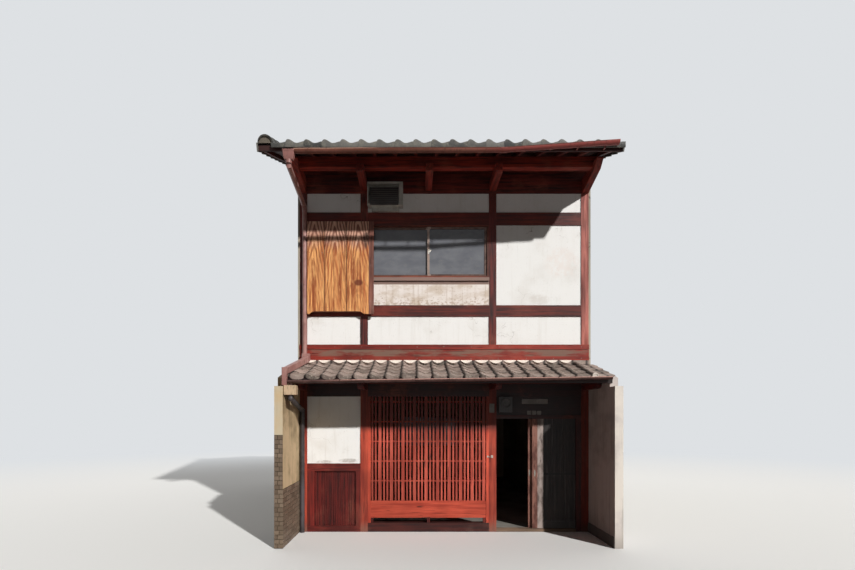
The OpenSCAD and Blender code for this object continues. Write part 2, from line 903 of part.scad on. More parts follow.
// Each group has two thin bars and a wide one, let into the cross rails
module lattice_bars() {
    group_w = (lattice_x[1] - lattice_x[0]) / lattice_groups;
    gap = (group_w - 2 * thin_bar - wide_bar) / 3;
    first_rail = lintel_z - 85;
    rail_step = (first_rail - bar_z[0] - 312) / (cross_rails - 1);
    color([0.62, 0.19, 0.13]) {
        for (g = [0:lattice_groups - 1])
            let (x = lattice_x[0] + g * group_w) {
                at_box([x + gap / 2, x + gap / 2 + thin_bar], bar_y, bar_z);
                at_box([x + gap * 1.5 + thin_bar, x + gap * 1.5 + 2 * thin_bar], bar_y, bar_z);
                at_box([x + gap * 2.5 + 2 * thin_bar, x + gap * 2.5 + 2 * thin_bar + wide_bar],
                       bar_y, bar_z);
            }
        for (i = [0:cross_rails - 1])
            at_box(lattice_x, cross_y,
                   [first_rail - i * rail_step - cross_rail_h / 2,
                    first_rail - i * rail_step + cross_rail_h / 2]);
    }
}

/* Entrance */

door_x = [right_bay[0], right_bay[1] - jamb_w];
front_track = -track_pitch / 2 - 6;
rear_track = front_track + track_pitch;
groove_w = leaf_t + 2 * leaf_clear;
leaf_z = [threshold_h + door_rail_h + rail_clear, door_head_z + leaf_bite];

module door_frame() {
    color([0.3, 0.08, 0.06])
        difference() {
            union() {
                at_box(right_bay, [front_y, half_post], [door_head_z, door_head_z + door_head_h]);
                at_box([door_x[1], right_bay[1]], [front_y, half_post], [0, door_head_z]);
            }
            for (y = [front_track, rear_track])
                at_box([door_x[0] - 1, door_x[1]], [y - groove_w / 2, y + groove_w / 2],
                       [door_head_z - 1, door_head_z + leaf_bite + leaf_clear + 3]);
        }
}

transom_back = 18;

module transom_board() {
    color([0.2, 0.06, 0.05])
        at_box(right_bay, [front_y + transom_back, front_y + transom_back + 24],
               [door_head_z + door_head_h, lintel_z]);
}

module threshold() {
    color([0.35, 0.28, 0.22]) {
        at_box(door_x, [front_y, half_post], [0, threshold_h]);
        for (y = [front_track, rear_track])
            at_box(door_x, [y - door_rail_w / 2, y + door_rail_w / 2],
                   [threshold_h, threshold_h + door_rail_h]);
    }
}

meter_size = [205, 90, 240];
meter_dial_r = 70;

// The meter hangs on the transom board, with a round dial cover
module meter_box() {
    color([0.25, 0.22, 0.2])
        translate([right_bay[0] + 30, front_y - meter_size[1], lintel_z - meter_size[2] - 10]) {
            cube([meter_size[0], meter_size[1] + transom_back, meter_size[2]]);
            translate([meter_size[0] / 2, 0, meter_size[2] * 0.6])
                rotate([90, 0, 0])
                cylinder(h = 22, r = meter_dial_r);
        }
}

leaf_stile = 80;
leaf_rail = 90;

// A door leaf: stiles, three rails and upright boards between them
module door_leaf(x0, y) {
    mid_z = 900;
    x = [x0, x0 + leaf_w];
    boards = 5;
    inner_w = leaf_w - 2 * leaf_stile;
    step = inner_w / boards;
    difference() {
        at_box(x, [y - leaf_t / 2, y + leaf_t / 2], leaf_z);
        for (z = [[leaf_z[0] + leaf_rail, mid_z - leaf_rail / 2],
                  [mid_z + leaf_rail / 2, leaf_z[1] - leaf_rail]])
            for (face = [-1, 1])
                translate([0, face * leaf_t * 0.65, 0])
                    for (i = [0:boards - 1])
                        at_box([x0 + leaf_stile + i * step + 5, x0 + leaf_stile + (i + 1) * step - 5],
                               [y - leaf_t / 3, y + leaf_t / 3], z);
    }
}

front_leaf_x = door_x[1] - leaf_clear - leaf_w;

module front_door_leaf() {
    color([0.15, 0.12, 0.11]) door_leaf(front_leaf_x, front_track);
}

module rear_door_leaf() {
    color([0.3, 0.2, 0.18]) door_leaf(front_leaf_x - rear_leaf_shift, rear_track);
}

/* Pent roof */

module pent_band(x, reach, low, high) {
    run_x(x, [
        [front_y - reach, low(reach)], [front_y, low(0)],
        [front_y, high(0)], [front_y - reach, high(reach)]
    ]);
}

pent_half = timber_x - 6;

module pent_rafters() {
    step = (2 * pent_half - pent_rafter_w) / (pent_rafter_count - 1);
    color([0.3, 0.1, 0.08])
        for (i = [0:pent_rafter_count - 1])
            let (x = -pent_half + i * step)
                pent_band([x, x + pent_rafter_w], pent_reach,
                          function (p) pent_under(p), function (p) pent_board_under(p));
}

pent_purlin_foot = pent_under(pent_purlin_reach) - pent_purlin_w;

module pent_purlin() {
    nose = pent_purlin_reach;
    back = pent_purlin_reach - pent_purlin_w;
    color([0.35, 0.1, 0.08])
        run_x([-pent_half, pent_half], [
            [front_y - nose, pent_purlin_foot], [front_y - back, pent_purlin_foot],
            [front_y - back, pent_under(back)], [front_y - nose, pent_under(nose)]
        ]);
}

// Arms that carry the pent purlin from the posts, with a chamfered nose
pent_arm_h = 90;
pent_arm_nose = 40;
pent_arm_chamfer = 35;

module pent_arms() {
    end_y = front_y - pent_purlin_reach - pent_arm_nose;
    foot = pent_purlin_foot - pent_arm_h;
    color([0.35, 0.1, 0.08])
        for (x = post_lines)
            let (c = max(min(x, pent_half - pent_purlin_w / 2), -pent_half + pent_purlin_w / 2))
                run_x([c - pent_purlin_w / 2, c + pent_purlin_w / 2], [
                    [front_y, foot], [end_y + pent_arm_chamfer, foot],
                    [end_y, foot + pent_arm_chamfer], [end_y, pent_purlin_foot],
                    [front_y, pent_purlin_foot]
                ]);
}

pent_fascia_t = 18;
pent_fascia_drop = 32;

module pent_boards() {
    foot = pent_under(pent_reach) - pent_fascia_drop;
    nose = pent_reach + pent_fascia_t;
    color([0.3, 0.1, 0.08]) {
        pent_band([-wall_x, wall_x], nose,
                  function (p) pent_board_under(p), function (p) pent_board_top(p));
        run_x([-wall_x, wall_x], [
            [front_y - nose, foot], [front_y - pent_reach, foot],
            [front_y - pent_reach, pent_board_under(pent_reach)],
            [front_y - nose, pent_board_under(nose)]
        ]);
    }
}

// The field of pent tiles, between the left edge and the round roll at the right
pent_tile_left = -timber_x + 49;
pent_tile_count = floor((timber_x - 2.5 * pent_roll_r - pent_tile_left) / pent_pitch);
pent_tile_right = pent_tile_left + pent_pitch * pent_tile_count;
pent_tile_edge = wall_x + right_verge;
pent_flat_h = 32;

module pent_tiles() {
    roll_x = pent_tile_right + pent_roll_r + 2;
    color([0.42, 0.4, 0.37])
        translate([0, front_y, pent_board_top(0)])
        rotate([pent_angle, 0, 0])
        rotate([90, 0, 0])
        translate([0, seat_gap, 0])
        linear_extrude((pent_reach + tile_nose) / cos(pent_angle)) {
            translate([(pent_tile_left + pent_tile_right) / 2, 0])
                tile_row(pent_pitch, pent_tile_count, pent_flat_h, pent_crest_h, pan_t);
            translate([-pent_tile_edge, 0])
                square([pent_tile_left + pent_tile_edge, pent_flat_h]);
            translate([pent_tile_right, 0])
                square([pent_tile_edge - pent_tile_right, pent_flat_h]);
            intersection() {
                translate([roll_x, pan_t]) circle(r = pent_roll_r);
                translate([roll_x - 2 * pent_roll_r, pan_t / 2]) square(4 * pent_roll_r);
            }
        }
}

/* Rainwater goods */

// Cross section of a half-round channel
module half_round(outer, inner) {
    difference() {
        circle(r = outer);
        circle(r = inner);
        translate([-2 * outer, 0]) square([4 * outer, 2 * outer]);
    }
}

// A half-round gutter along X with its end caps, and hooks that reach back to a fascia
module gutter(length, r, hook_reach, hooks) {
    rotate([90, 0, 90]) {
        linear_extrude(length) half_round(r, r - gutter_t);
        for (x = [0, length - gutter_t * 2])
            translate([0, 0, x]) linear_extrude(gutter_t * 2) half_round(r + gutter_t, 0.01);
        for (i = [0:hooks - 1])
            translate([0, 0, (i + 0.5) * length / hooks])
                linear_extrude(hook_w) {
                    half_round(r + gutter_t, r - gutter_t / 2);
                    difference() {
                        translate([0, -r * 0.45 - hook_t]) square([hook_reach, hook_t]);
                        circle(r = r - gutter_t / 2);
                    }
                }
    }
}

hook_w = 18;
hook_t = 6;
gutter_gap = 14;
hopper_size = [165, 120, 130];

upper_gutter_y = front_tile_y - gutter_r - gutter_gap;
upper_gutter_rise = atan(gutter_fall / (2 * wall_x));
upper_gutter_z = rafter_under(front_y - eave_reach) + 8;
upper_hopper = [-wall_x + 135, upper_gutter_y, upper_gutter_z - gutter_r - 34];

// The outlet under a gutter, which ends just above its hopper
module outlet(hopper, r, bottom_z) {
    translate([hopper[0], hopper[1], hopper[2] + seat_gap])
        cylinder(h = bottom_z - hopper[2] - seat_gap, r = r);
}

module upper_gutter() {
    reach = (front_y - eave_reach - fascia_t) - upper_gutter_y;
    color([0.55, 0.28, 0.24]) {
        translate([-wall_x, upper_gutter_y, upper_gutter_z])
            rotate([0, -upper_gutter_rise, 0])
            gutter(2 * wall_x, gutter_r, reach - seat_gap, 12);
        outlet(upper_hopper, 26, upper_gutter_z - gutter_r + gutter_t);
    }
}

down_x = post_1 + 34;
down_y = front_y - skirt_t - pipe_r - 10;
verge_pipe = [70, 62];
verge_pipe_x = -timber_x + 12;
// Height of the shoe where the rain pipe meets the box pipe over the tiles
shoe_h = 110;
clip_w = 16;

// A clip that holds a rain pipe to the post behind it
module pipe_clip(x, y, z, seat_y) {
    at_box([x - clip_w / 2, x + clip_w / 2], [y, seat_y], [z, z + clip_w]);
    translate([x, y, z]) cylinder(h = clip_w, r = pipe_r + 4);
}

module hopper(at, size) {
    translate([at[0] - size[0] / 2, at[1] - size[1] / 2, at[2] - size[2]]) cube(size);
}

// Down from the upper hopper, along the wall and over the pent tiles to the pent gutter
module upper_downpipe() {
    neck_z = upper_hopper[2] - hopper_size[2];
    lean = pent_crest_h + seat_gap;
    shoe_z = pent_board_top(0) + lean + 4;
    shoe_wall = 5;
    verge_run = (front_y - pent_gutter_y) / cos(pent_angle);
    color([0.62, 0.48, 0.46]) {
        hopper(upper_hopper, hopper_size);
        pipe([
            [upper_hopper[0], upper_hopper[1], neck_z + 1],
            [upper_hopper[0], upper_hopper[1], neck_z - 70],
            [down_x, down_y, neck_z - 130],
            [down_x, down_y, shoe_z + 60]
        ], pipe_r);
        for (z = [neck_z - 320, window_z - 100, low_panel_z + 120])
            pipe_clip(down_x, down_y, z, front_y);
        at_box([verge_pipe_x - shoe_wall, down_x + pipe_r + shoe_wall],
               [down_y - pipe_r - shoe_wall, down_y + pipe_r + shoe_wall],
               [shoe_z, shoe_z + shoe_h]);
        translate([verge_pipe_x, front_y, pent_board_top(0)])
            rotate([pent_angle, 0, 0])
            translate([0, -verge_run, lean])
            cube([verge_pipe[0], verge_run - 50, verge_pipe[1]]);
        at_box([verge_pipe_x - 2, verge_pipe_x + verge_pipe[0] + 2],
               [pent_gutter_y - 25, pent_gutter_y + 25],
               [pent_gutter_z + 8, pent_board_top(pent_reach + 70) + lean + 40]);
    }
}

pent_gutter_y = front_y - pent_reach - tile_nose - pent_gutter_r - gutter_gap;
pent_gutter_rise = atan(gutter_fall / (2 * timber_x));
pent_gutter_z = pent_under(pent_reach) - 6;
pent_gutter_x = -timber_x + 6;
lower_hopper = [pent_gutter_x + 85, pent_gutter_y, pent_gutter_z - pent_gutter_r - 24];

module pent_gutter() {
    reach = (front_y - pent_reach - pent_fascia_t) - pent_gutter_y;
    color([0.4, 0.28, 0.26]) {
        translate([pent_gutter_x, pent_gutter_y, pent_gutter_z])
            rotate([0, -pent_gutter_rise, 0])
            gutter(-2 * pent_gutter_x, pent_gutter_r, reach - seat_gap, 9);
        outlet(lower_hopper, 22, pent_gutter_z - pent_gutter_r + gutter_t);
    }
}

// How far the ground pipe's high clip lies below the hopper, and its low clip's height
high_clip_drop = 420;
low_clip_z = 700;

module lower_downpipe() {
    neck_z = lower_hopper[2] - hopper_size[2];
    x = -timber_x + 50;
    y = front_y - pipe_r - 12;
    color([0.3, 0.24, 0.22]) {
        hopper(lower_hopper, hopper_size);
        pipe([
            [lower_hopper[0], lower_hopper[1], neck_z + 1],
            [lower_hopper[0], lower_hopper[1], neck_z - 50],
            [x, y, neck_z - 200],
            [x, y, 4]
        ], pipe_r);
        for (z = [neck_z - high_clip_drop, low_clip_z])
            pipe_clip(x, y, z, front_y);
    }
}

/* Wing walls under the pent roof */

module wing_wall(x) {
    run_x(x, [
        [front_y - wing_reach, 0], [front_y, 0], [front_y, pent_board_under(0)],
        [front_y - pent_reach, pent_board_under(pent_reach)],
        [front_y - pent_reach, wing_h], [front_y - wing_reach, wing_h]
    ]);
}

module left_wing_wall() {
    color([0.8, 0.74, 0.6]) wing_wall([-timber_x - wing_t, -timber_x]);
}

module right_wing_wall() {
    color([0.6, 0.6, 0.58]) wing_wall([timber_x, timber_x + wing_t]);
}

ground_floor();
front_sill();
front_posts();
lintel_beam();
floor_girder();
wall_rails();
skirt_boards();
plaster_panels();
left_party_wall();
right_party_wall();
rear_wall();
rear_timbers();
rear_window_frames();
rear_window_glass();
upper_floor();
floor_joists();
roof_beams();
window_frame();
window_sashes();
window_glass();
shutter_box();
shutter_boards();
apron_board();
ventilator();
eave_brackets();
eave_purlin();
front_rafters();
rear_rafters();
front_roof_boards();
rear_roof_boards();
front_roof_tiles();
rear_roof_tiles();
verge_tiles();
ridge_tiles();
upper_gutter();
upper_downpipe();
pent_rafters();
pent_purlin();
pent_arms();
pent_boards();
pent_tiles();
pent_gutter();
lower_downpipe();
left_wing_wall();
right_wing_wall();
bay_panel();
dado_frame();
dado_boards();
lattice_frame();
lattice_bars();
door_frame();
transom_board();
threshold();
meter_box();
front_door_leaf();
rear_door_leaf();
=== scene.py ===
"""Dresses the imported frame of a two-storey timber townhouse, and sets its camera and light.

Lengths are in metres, in the frame's own axes: X along the street, Y into the house, Z up.
Colours are display colours of 0 to 255, apart from the few that are marked as linear.
"""

import math
import random

import bmesh
import bpy
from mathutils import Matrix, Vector


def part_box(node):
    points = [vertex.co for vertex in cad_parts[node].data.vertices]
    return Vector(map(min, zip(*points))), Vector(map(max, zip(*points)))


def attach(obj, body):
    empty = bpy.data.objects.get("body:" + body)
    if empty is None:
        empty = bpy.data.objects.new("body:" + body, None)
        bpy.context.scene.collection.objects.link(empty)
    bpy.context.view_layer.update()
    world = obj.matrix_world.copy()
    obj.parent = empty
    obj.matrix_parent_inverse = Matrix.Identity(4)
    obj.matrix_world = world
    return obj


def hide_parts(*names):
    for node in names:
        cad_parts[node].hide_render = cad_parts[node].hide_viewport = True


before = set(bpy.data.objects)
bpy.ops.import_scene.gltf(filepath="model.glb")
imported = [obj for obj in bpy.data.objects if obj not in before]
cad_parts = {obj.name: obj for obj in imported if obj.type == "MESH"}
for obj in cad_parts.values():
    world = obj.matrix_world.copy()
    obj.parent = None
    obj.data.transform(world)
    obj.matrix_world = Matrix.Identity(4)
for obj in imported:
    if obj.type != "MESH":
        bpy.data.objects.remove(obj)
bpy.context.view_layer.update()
dice = random.Random(11)


# Sizes that the frame gives

def span(node, axis):
    """A frame node's lowest and highest coordinate along an axis: 0 for X, 1 for Y, 2 for Z."""
    low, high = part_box(node)
    return low[axis], high[axis]


front_y = span("front_posts", 1)[0]
timber_x = span("front_posts", 0)[1]
plate_z = span("front_posts", 2)[1]
left_bay = span("bay_panel", 0)
mid_bay = span("front_sill", 0)
lintel_foot = span("lintel_beam", 2)[0]
ridge_y, ridge_z = span("front_roof_boards", 1)[1], span("front_roof_boards", 2)[1]
pent_top_z = span("pent_boards", 2)[1]
skirt_foot = span("skirt_boards", 2)[0]
front_face_y, rear_face_y = span("front_roof_tiles", 1)[0], span("rear_roof_tiles", 1)[1]

# Sizes of the source that the frame doesn't state

UPPER_ROOF_SLOPE = 0.38
PENT_ROOF_SLOPE = 0.30
UPPER_PITCH = 0.2445
PENT_PITCH = 0.2225
PENT_COLUMNS = 19
pent_first_x = -timber_x + 0.049
POST_W = 0.115
ARM_X = (-1.2605, -0.2485, 0.7635)
VENTILATOR_X, VENTILATOR_Z = (-1.156, -0.7155), (5.0825, 5.3607)
WINDOW_OPENING_Z = (4.026, 4.81)
DADO_OPENING_Z = (0.094, 0.953)
REAR_TIMBERS_Z = (0.142, 5.327)
DOOR_HEAD_Z = 1.78
lattice_x = (mid_bay[0] + 0.045, mid_bay[1] - 0.045)

# Places of what only this script makes

GUTTER_Y = -1.3095
GUTTER_PATH = [(-2.0665, 5.3455), (0.72, 5.359), (2.25, 5.466)]
HOPPER_X, HOPPER_Z = (-2.2155, -2.0635), (5.214, 5.338)
PIPE_X = -2.1825
SHUTTER_JOINTS = (0.0, 0.284, 0.64, 1.0)
KNOT = (-1.338, 3.897)
PIPE_SOCKET_Z, PIPE_CLIPS_Z = 3.93, (3.79, 3.065)
SLEEVES_X = (0.675, 0.765), (2.085, GUTTER_PATH[-1][0])
SLIP_TOP, SIDE_SLIP_TOP = 1.556, 0.812
SKIRTING_TOP = 0.15
WING_END_Y = -1.1
# Height over which the lattice and posts carry painted shade of the pent roof.
PENT_SHADE_Z = 1.6
STUD_Z = 1.66
HASP_Z = 1.184
PULL_Z, LEAF_RAIL_Z = 0.92, (0.893, 0.927)
DAY_HEIGHT = 1.82
STAIN = (-1.225, 4.56)


# Meshes

class Shape:
    """Collects closed solids, which become one mesh."""

    def __init__(self):
        self.points = []
        self.faces = []

    def rings(self, rings):
        """A solid through rings of points, closed at both ends."""
        first, size = len(self.points), len(rings[0])
        for ring in rings:
            self.points.extend(tuple(p) for p in ring)
        for i in range(len(rings) - 1):
            for j in range(size):
                a = first + i * size + j
                b = first + i * size + (j + 1) % size
                self.faces.append((a, b, b + size, a + size))
        last = first + (len(rings) - 1) * size
        self.faces.append(tuple(range(first + size - 1, first - 1, -1)))
        self.faces.append(tuple(range(last, last + size)))

    def block(self, x, y, z):
        """A box between pairs of coordinates."""
        corners = [(x[0], y[0]), (x[1], y[0]), (x[1], y[1]), (x[0], y[1])]
        self.rings([[(a, b, c) for a, b in corners] for c in z])

    def extrude(self, outline, ends, place=lambda a, b, end: (end, a, b)):
        """An outline of (a, b) points, run from one end to the other by place(a, b, end)."""
        self.rings([[place(a, b, end) for a, b in outline] for end in ends])

    def turned(self, steps, sides, place):
        """A solid through circles of (radius, depth), which place(a, b, depth) puts in place."""
        self.rings([[place(a, b, depth) for a, b in circle(radius, sides)] for radius, depth in steps])

    def tube(self, path, radius, sides=12):
        """A round bar through a list of points."""
        path = [Vector(p) for p in path]
        made = []
        for i, point in enumerate(path):
            ahead = path[min(i + 1, len(path) - 1)] - path[max(i - 1, 0)]
            if i == 0:
                side = ahead.orthogonal()
            else:
                side -= ahead * (side.dot(ahead) / ahead.length_squared)
            side.normalize()
            other = ahead.normalized().cross(side)
            made.append([point + radius * (side * a + other * b) for a, b in circle(1.0, sides)])
        self.rings(made)

    def make(self, name, material, slot, body="house", replaces=()):
        """Turns the solids into one piece that rides on a body of the frame."""
        mesh = bpy.data.meshes.new(name)
        mesh.from_pydata(self.points, [], self.faces)
        solids = bmesh.new()
        solids.from_mesh(mesh)
        bmesh.ops.recalc_face_normals(solids, faces=solids.faces)
        solids.to_mesh(mesh)
        solids.free()
        mesh.shade_smooth()
        mesh.set_sharp_from_angle(angle=math.radians(38))
        mesh.materials.append(material)
        piece = bpy.data.objects.new(name, mesh)
        bpy.context.scene.collection.objects.link(piece)
        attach(piece, body)
        if replaces:
            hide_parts(*replaces)


def circle(radius, sides, start=0.0, turn=2 * math.pi):
    """Points on an arc, as (a, b), with the last one left out on a full circle."""
    count = sides if turn == 2 * math.pi else sides + 1
    angles = [start + turn * i / sides for i in range(count)]
    return [(radius * math.cos(angle), radius * math.sin(angle)) for angle in angles]


def jitter(amount):
    """A small random step either way."""
    return dice.uniform(-amount, amount)


# Materials

def srgb(red, green, blue):
    """A display colour, 0 to 255, as the linear colour that a shader takes."""
    def linear(value):
        value /= 255
        return value / 12.92 if value <= 0.04045 else ((value + 0.055) / 1.055) ** 2.4
    return (linear(red), linear(green), linear(blue), 1.0)


class Value:
    """A number, vector or colour inside a material. Arithmetic on it adds nodes to the material."""

    def __init__(self, paint, socket):
        self.paint = paint
        self.socket = socket

    def __add__(self, other):
        return self.paint.math("ADD", self, other)

    def __sub__(self, other):
        return self.paint.math("SUBTRACT", self, other)

    def __rsub__(self, other):
        return self.paint.math("SUBTRACT", other, self)

    def __mul__(self, other):
        return self.paint.math("MULTIPLY", self, other)

    def __truediv__(self, other):
        return self.paint.math("DIVIDE", self, other)

    def __abs__(self):
        return self.paint.math("ABSOLUTE", self)

    def most(self, other):
        return self.paint.math("MAXIMUM", self, other)

    def above(self, edge):
        return self.paint.math("GREATER_THAN", self, edge)

    def below(self, edge):
        return self.paint.math("LESS_THAN", self, edge)

    def fraction(self):
        return self.paint.math("FRACT", self)

    def fade(self, low, high):
        """0 up to low, 1 from high, and smooth between them."""
        return self.paint.made("ShaderNodeMapRange", {0: self, 1: low, 2: high},
                               interpolation_type="SMOOTHSTEP")

    def fall(self, low, high):
        """1 up to low, 0 from high, and smooth between them."""
        return 1.0 - self.fade(low, high)

    def band(self, low, high, soft):
        """1 between low and high, and 0 outside them."""
        return self.fade(low - soft, low + soft) - self.fade(high - soft, high + soft)


class Paint:
    """One material: a base colour, what is laid over it, a roughness and a relief."""

    def __init__(self, name, roughness=0.6, metallic=0.0):
        self.material = bpy.data.materials.new(name)
        self.material.use_nodes = True
        self.tree = self.material.node_tree
        self.tree.nodes.clear()
        self.shader = self.tree.nodes.new("ShaderNodeBsdfPrincipled")
        self.shader.inputs["Roughness"].default_value = roughness
        self.shader.inputs["Metallic"].default_value = metallic
        self.shader.inputs["Specular IOR Level"].default_value = 0.3
        self.output = self.tree.nodes.new("ShaderNodeOutputMaterial")
        self.tree.links.new(self.shader.outputs[0], self.output.inputs[0])
        self.place = self.made("ShaderNodeTexCoord", {}, "Object")
        axes = self.tree.nodes.new("ShaderNodeSeparateXYZ")
        self.put(axes.inputs[0], self.place)
        self.axes = [Value(self, socket) for socket in axes.outputs]
        self.x, self.y, self.z = self.axes
        self.colour = self.rough = self.relief = None

    def put(self, socket, value):
        """Links a value to a socket, or sets the socket. A colour of three numbers is a display one."""
        if isinstance(value, Value):
            self.tree.links.new(value.socket, socket)
        elif socket.type == "RGBA" and len(value) == 3:
            socket.default_value = srgb(*value)
        else:
            socket.default_value = value

    def made(self, kind, inputs, output=0, **settings):
        """What a new node gives, with its inputs by number or name."""
        node = self.tree.nodes.new(kind)
        for key, value in settings.items():
            setattr(node, key, value)
        for key, value in inputs.items():
            self.put(node.inputs[key], value)
        return Value(self, node.outputs[output])

    def math(self, operation, *values):
        return self.made("ShaderNodeMath", dict(enumerate(values)), operation=operation)

    def mix(self, amount, a, b, blend="MIX"):
        return self.made("ShaderNodeMix", {0: amount, 6: a, 7: b}, 2, data_type="RGBA", blend_type=blend)

    def lay(self, amount, colour):
        """Lays a colour over the present one, as much as the amount says."""
        self.colour = self.mix(amount, self.colour, colour)

    def stretched(self, scales, vector=None):
        return self.made("ShaderNodeVectorMath", {0: vector or self.place, 1: scales}, operation="MULTIPLY")

    def noise(self, place, scale, detail, roughness, distortion=0.0):
        """Noise at a place, which is a vector or three factors that stretch the object's own one."""
        vector = self.stretched(place) if isinstance(place, tuple) else place
        return self.made("ShaderNodeTexNoise", {"Vector": vector, "Scale": scale, "Detail": detail,
                                                "Roughness": roughness, "Distortion": distortion})

    def cells(self, vector, scale, feature="DISTANCE_TO_EDGE"):
        return self.made("ShaderNodeTexVoronoi", {"Vector": vector, "Scale": scale}, feature=feature)

    def island(self):
        """A steady random number for each separate solid."""
        return self.made("ShaderNodeNewGeometry", {}, "Random Per Island")

    def spot(self, x, z, width, height):
        """1 in the middle of an ellipse on the front and 0 outside it."""
        across = (self.x - x) / width
        up = (self.z - z) / height
        return self.math("SQRT", across * across + up * up).fall(0.55, 1.0)

    def finish(self, depth=0.0015, strength=0.6):
        """The material, with its relief as bumps of a depth."""
        self.put(self.shader.inputs["Base Color"], self.colour)
        if self.rough is not None:
            self.put(self.shader.inputs["Roughness"], self.rough)
        bump = {"Strength": strength, "Distance": depth, "Height": self.relief}
        self.put(self.shader.inputs["Normal"], self.made("ShaderNodeBump", bump))
        return self.material


RED_LIGHT = (142, 46, 33)
RED = (108, 34, 26)
RED_DEEP = (66, 18, 14)
RED_DIM = (40, 11, 9)
RED_BLEACHED = (164, 96, 78)
# Painted shade: the dark colour laid where the pent roof and the right wing wall shade the timber.
RED_PAINTED_SHADE = (24, 9, 7)
GREY_WOOD = (122, 98, 84)
# Linear colours
CHECK_BLACK = (0.008, 0.004, 0.003, 1.0)
JOINT_BLACK = (0.006, 0.004, 0.003, 1.0)


def fibres(paint, along, turned):
    """Object space squeezed so that noise in it runs along one axis, as wood fibres do.
    turned is (mask, axis): where the mask is 1 the fibres run along that axis instead."""
    def squeezed(axis):
        return paint.stretched([1.0 if i == axis else 17.0 for i in range(3)])
    if turned is None:
        return squeezed(along)
    mask, axis = turned
    return paint.made("ShaderNodeMix", {0: mask, 4: squeezed(along), 5: squeezed(axis)}, 1,
                      data_type="VECTOR")


def stained(paint, light, dark, along, turned=None, bleached=RED_BLEACHED, bleach=0.3, tone=0.3):
    """Stained and weathered wood: streaks, bleached patches, drying checks and grime."""
    grain = fibres(paint, along, turned)
    fine = paint.noise(grain, 7.5, 5.0, 0.7)
    paint.colour = paint.mix(paint.noise(grain, 1.7, 3.0, 0.6).fade(0.32, 0.66), dark, light)
    paint.lay(fine.fade(0.5, 0.72) * 0.5, dark)
    if bleached is not None:
        patches = paint.noise(paint.place, 1.9, 4.0, 0.6)
        paint.lay(patches.fade(0.5, 0.68) * fine.fade(0.35, 0.6) * bleach, bleached)
    checks = paint.noise(grain, 3.1, 1.0, 0.4, 0.4).fade(0.69, 0.73)
    paint.lay(checks * 0.75, CHECK_BLACK)
    weather = paint.noise(paint.place, 0.9, 3.0, 0.6).fade(0.34, 0.66)
    shade = (paint.island() * tone + (1.0 - tone / 2)) * (weather * 0.5 + 0.72)
    tint = paint.made("ShaderNodeCombineColor", {0: shade, 1: shade, 2: shade})
    paint.colour = paint.mix(1.0, paint.colour, tint, "MULTIPLY")
    paint.rough = fine * 0.4 + 0.42
    paint.relief = fine * 0.7 - checks * 1.2


def timber(name, light, dark, along=0, bleached=RED_BLEACHED, bleach=0.3):
    """Stained wood whose fibres all run along one axis."""
    paint = Paint(name)
    stained(paint, light, dark, along, None, bleached, bleach)
    return paint.finish()


def framed_timber(name, light, dark, axis, low, high, outer=0, inner=2, shade_above=None, grey_below=None):
    """Timber whose fibres run along the inner axis between two coordinates, and else along the outer.
    Over the given shade height it is painted dark, as painted shade of the pent roof. Below the height
    grey_below it has weathered."""
    paint = Paint(name)
    stained(paint, light, dark, outer, (paint.axes[axis].band(low, high, 0.0005), inner))
    if shade_above is not None:
        # Painted shade: a dark colour over the given height, where the pent roof's shadow falls.
        paint.lay(paint.z.fade(shade_above - 0.06, shade_above + 0.06) * 0.72, RED_PAINTED_SHADE)
    if grey_below is not None:
        paint.lay(paint.z.fall(grey_below - 0.002, grey_below + 0.002) * 0.72, (150, 130, 120))
    return paint.finish()


def post_timber():
    """The front posts: bright and worn on the ground floor, darker over the pent roof, with painted shade
    under the pent roof and on the right corner post beside the wing wall.
    """
    paint = Paint("post_timber")
    upper = paint.z.fade(lintel_foot - 0.1, lintel_foot + 0.5)
    right_corner = paint.x.above(timber_x - POST_W)
    light = paint.mix(upper, (188, 78, 56), (112, 46, 40))
    dark = paint.mix(upper, (142, 52, 39), (46, 18, 15))
    bare = upper * right_corner
    pale, deep = paint.mix(bare, light, (196, 118, 106)), paint.mix(bare, dark, (122, 58, 50))
    stained(paint, pale, deep, 2, bleach=0.35)
    paint.lay(paint.z.fall(0.02, 0.2) * 0.6, (120, 98, 84))
    # Painted shade: under the pent roof, and on the ground floor's right corner post, which the wing wall
    # shades.
    painted_wing_shade = right_corner * (1.0 - upper)
    painted_post_shade = paint.z.band(PENT_SHADE_Z, pent_top_z - 0.05, 0.06).most(painted_wing_shade)
    paint.lay(painted_post_shade * 0.62, RED_PAINTED_SHADE)
    return paint.finish()


def skirt_timber():
    """The boards over the pent roof: red strips, and a bleached grey board between them."""
    paint = Paint("skirt_timber")
    stained(paint, RED_LIGHT, RED, 0, bleach=0.35)
    low, high = span("skirt_boards", 2)
    middle = paint.z.band(low + 0.061, high - 0.078, 0.003)
    worn = paint.noise((1.0, 1.0, 5.0), 1.5, 4.0, 0.65).fade(0.4, 0.58)
    paint.lay(middle * worn * 0.85, GREY_WOOD)
    return paint.finish(0.0015, 0.7)


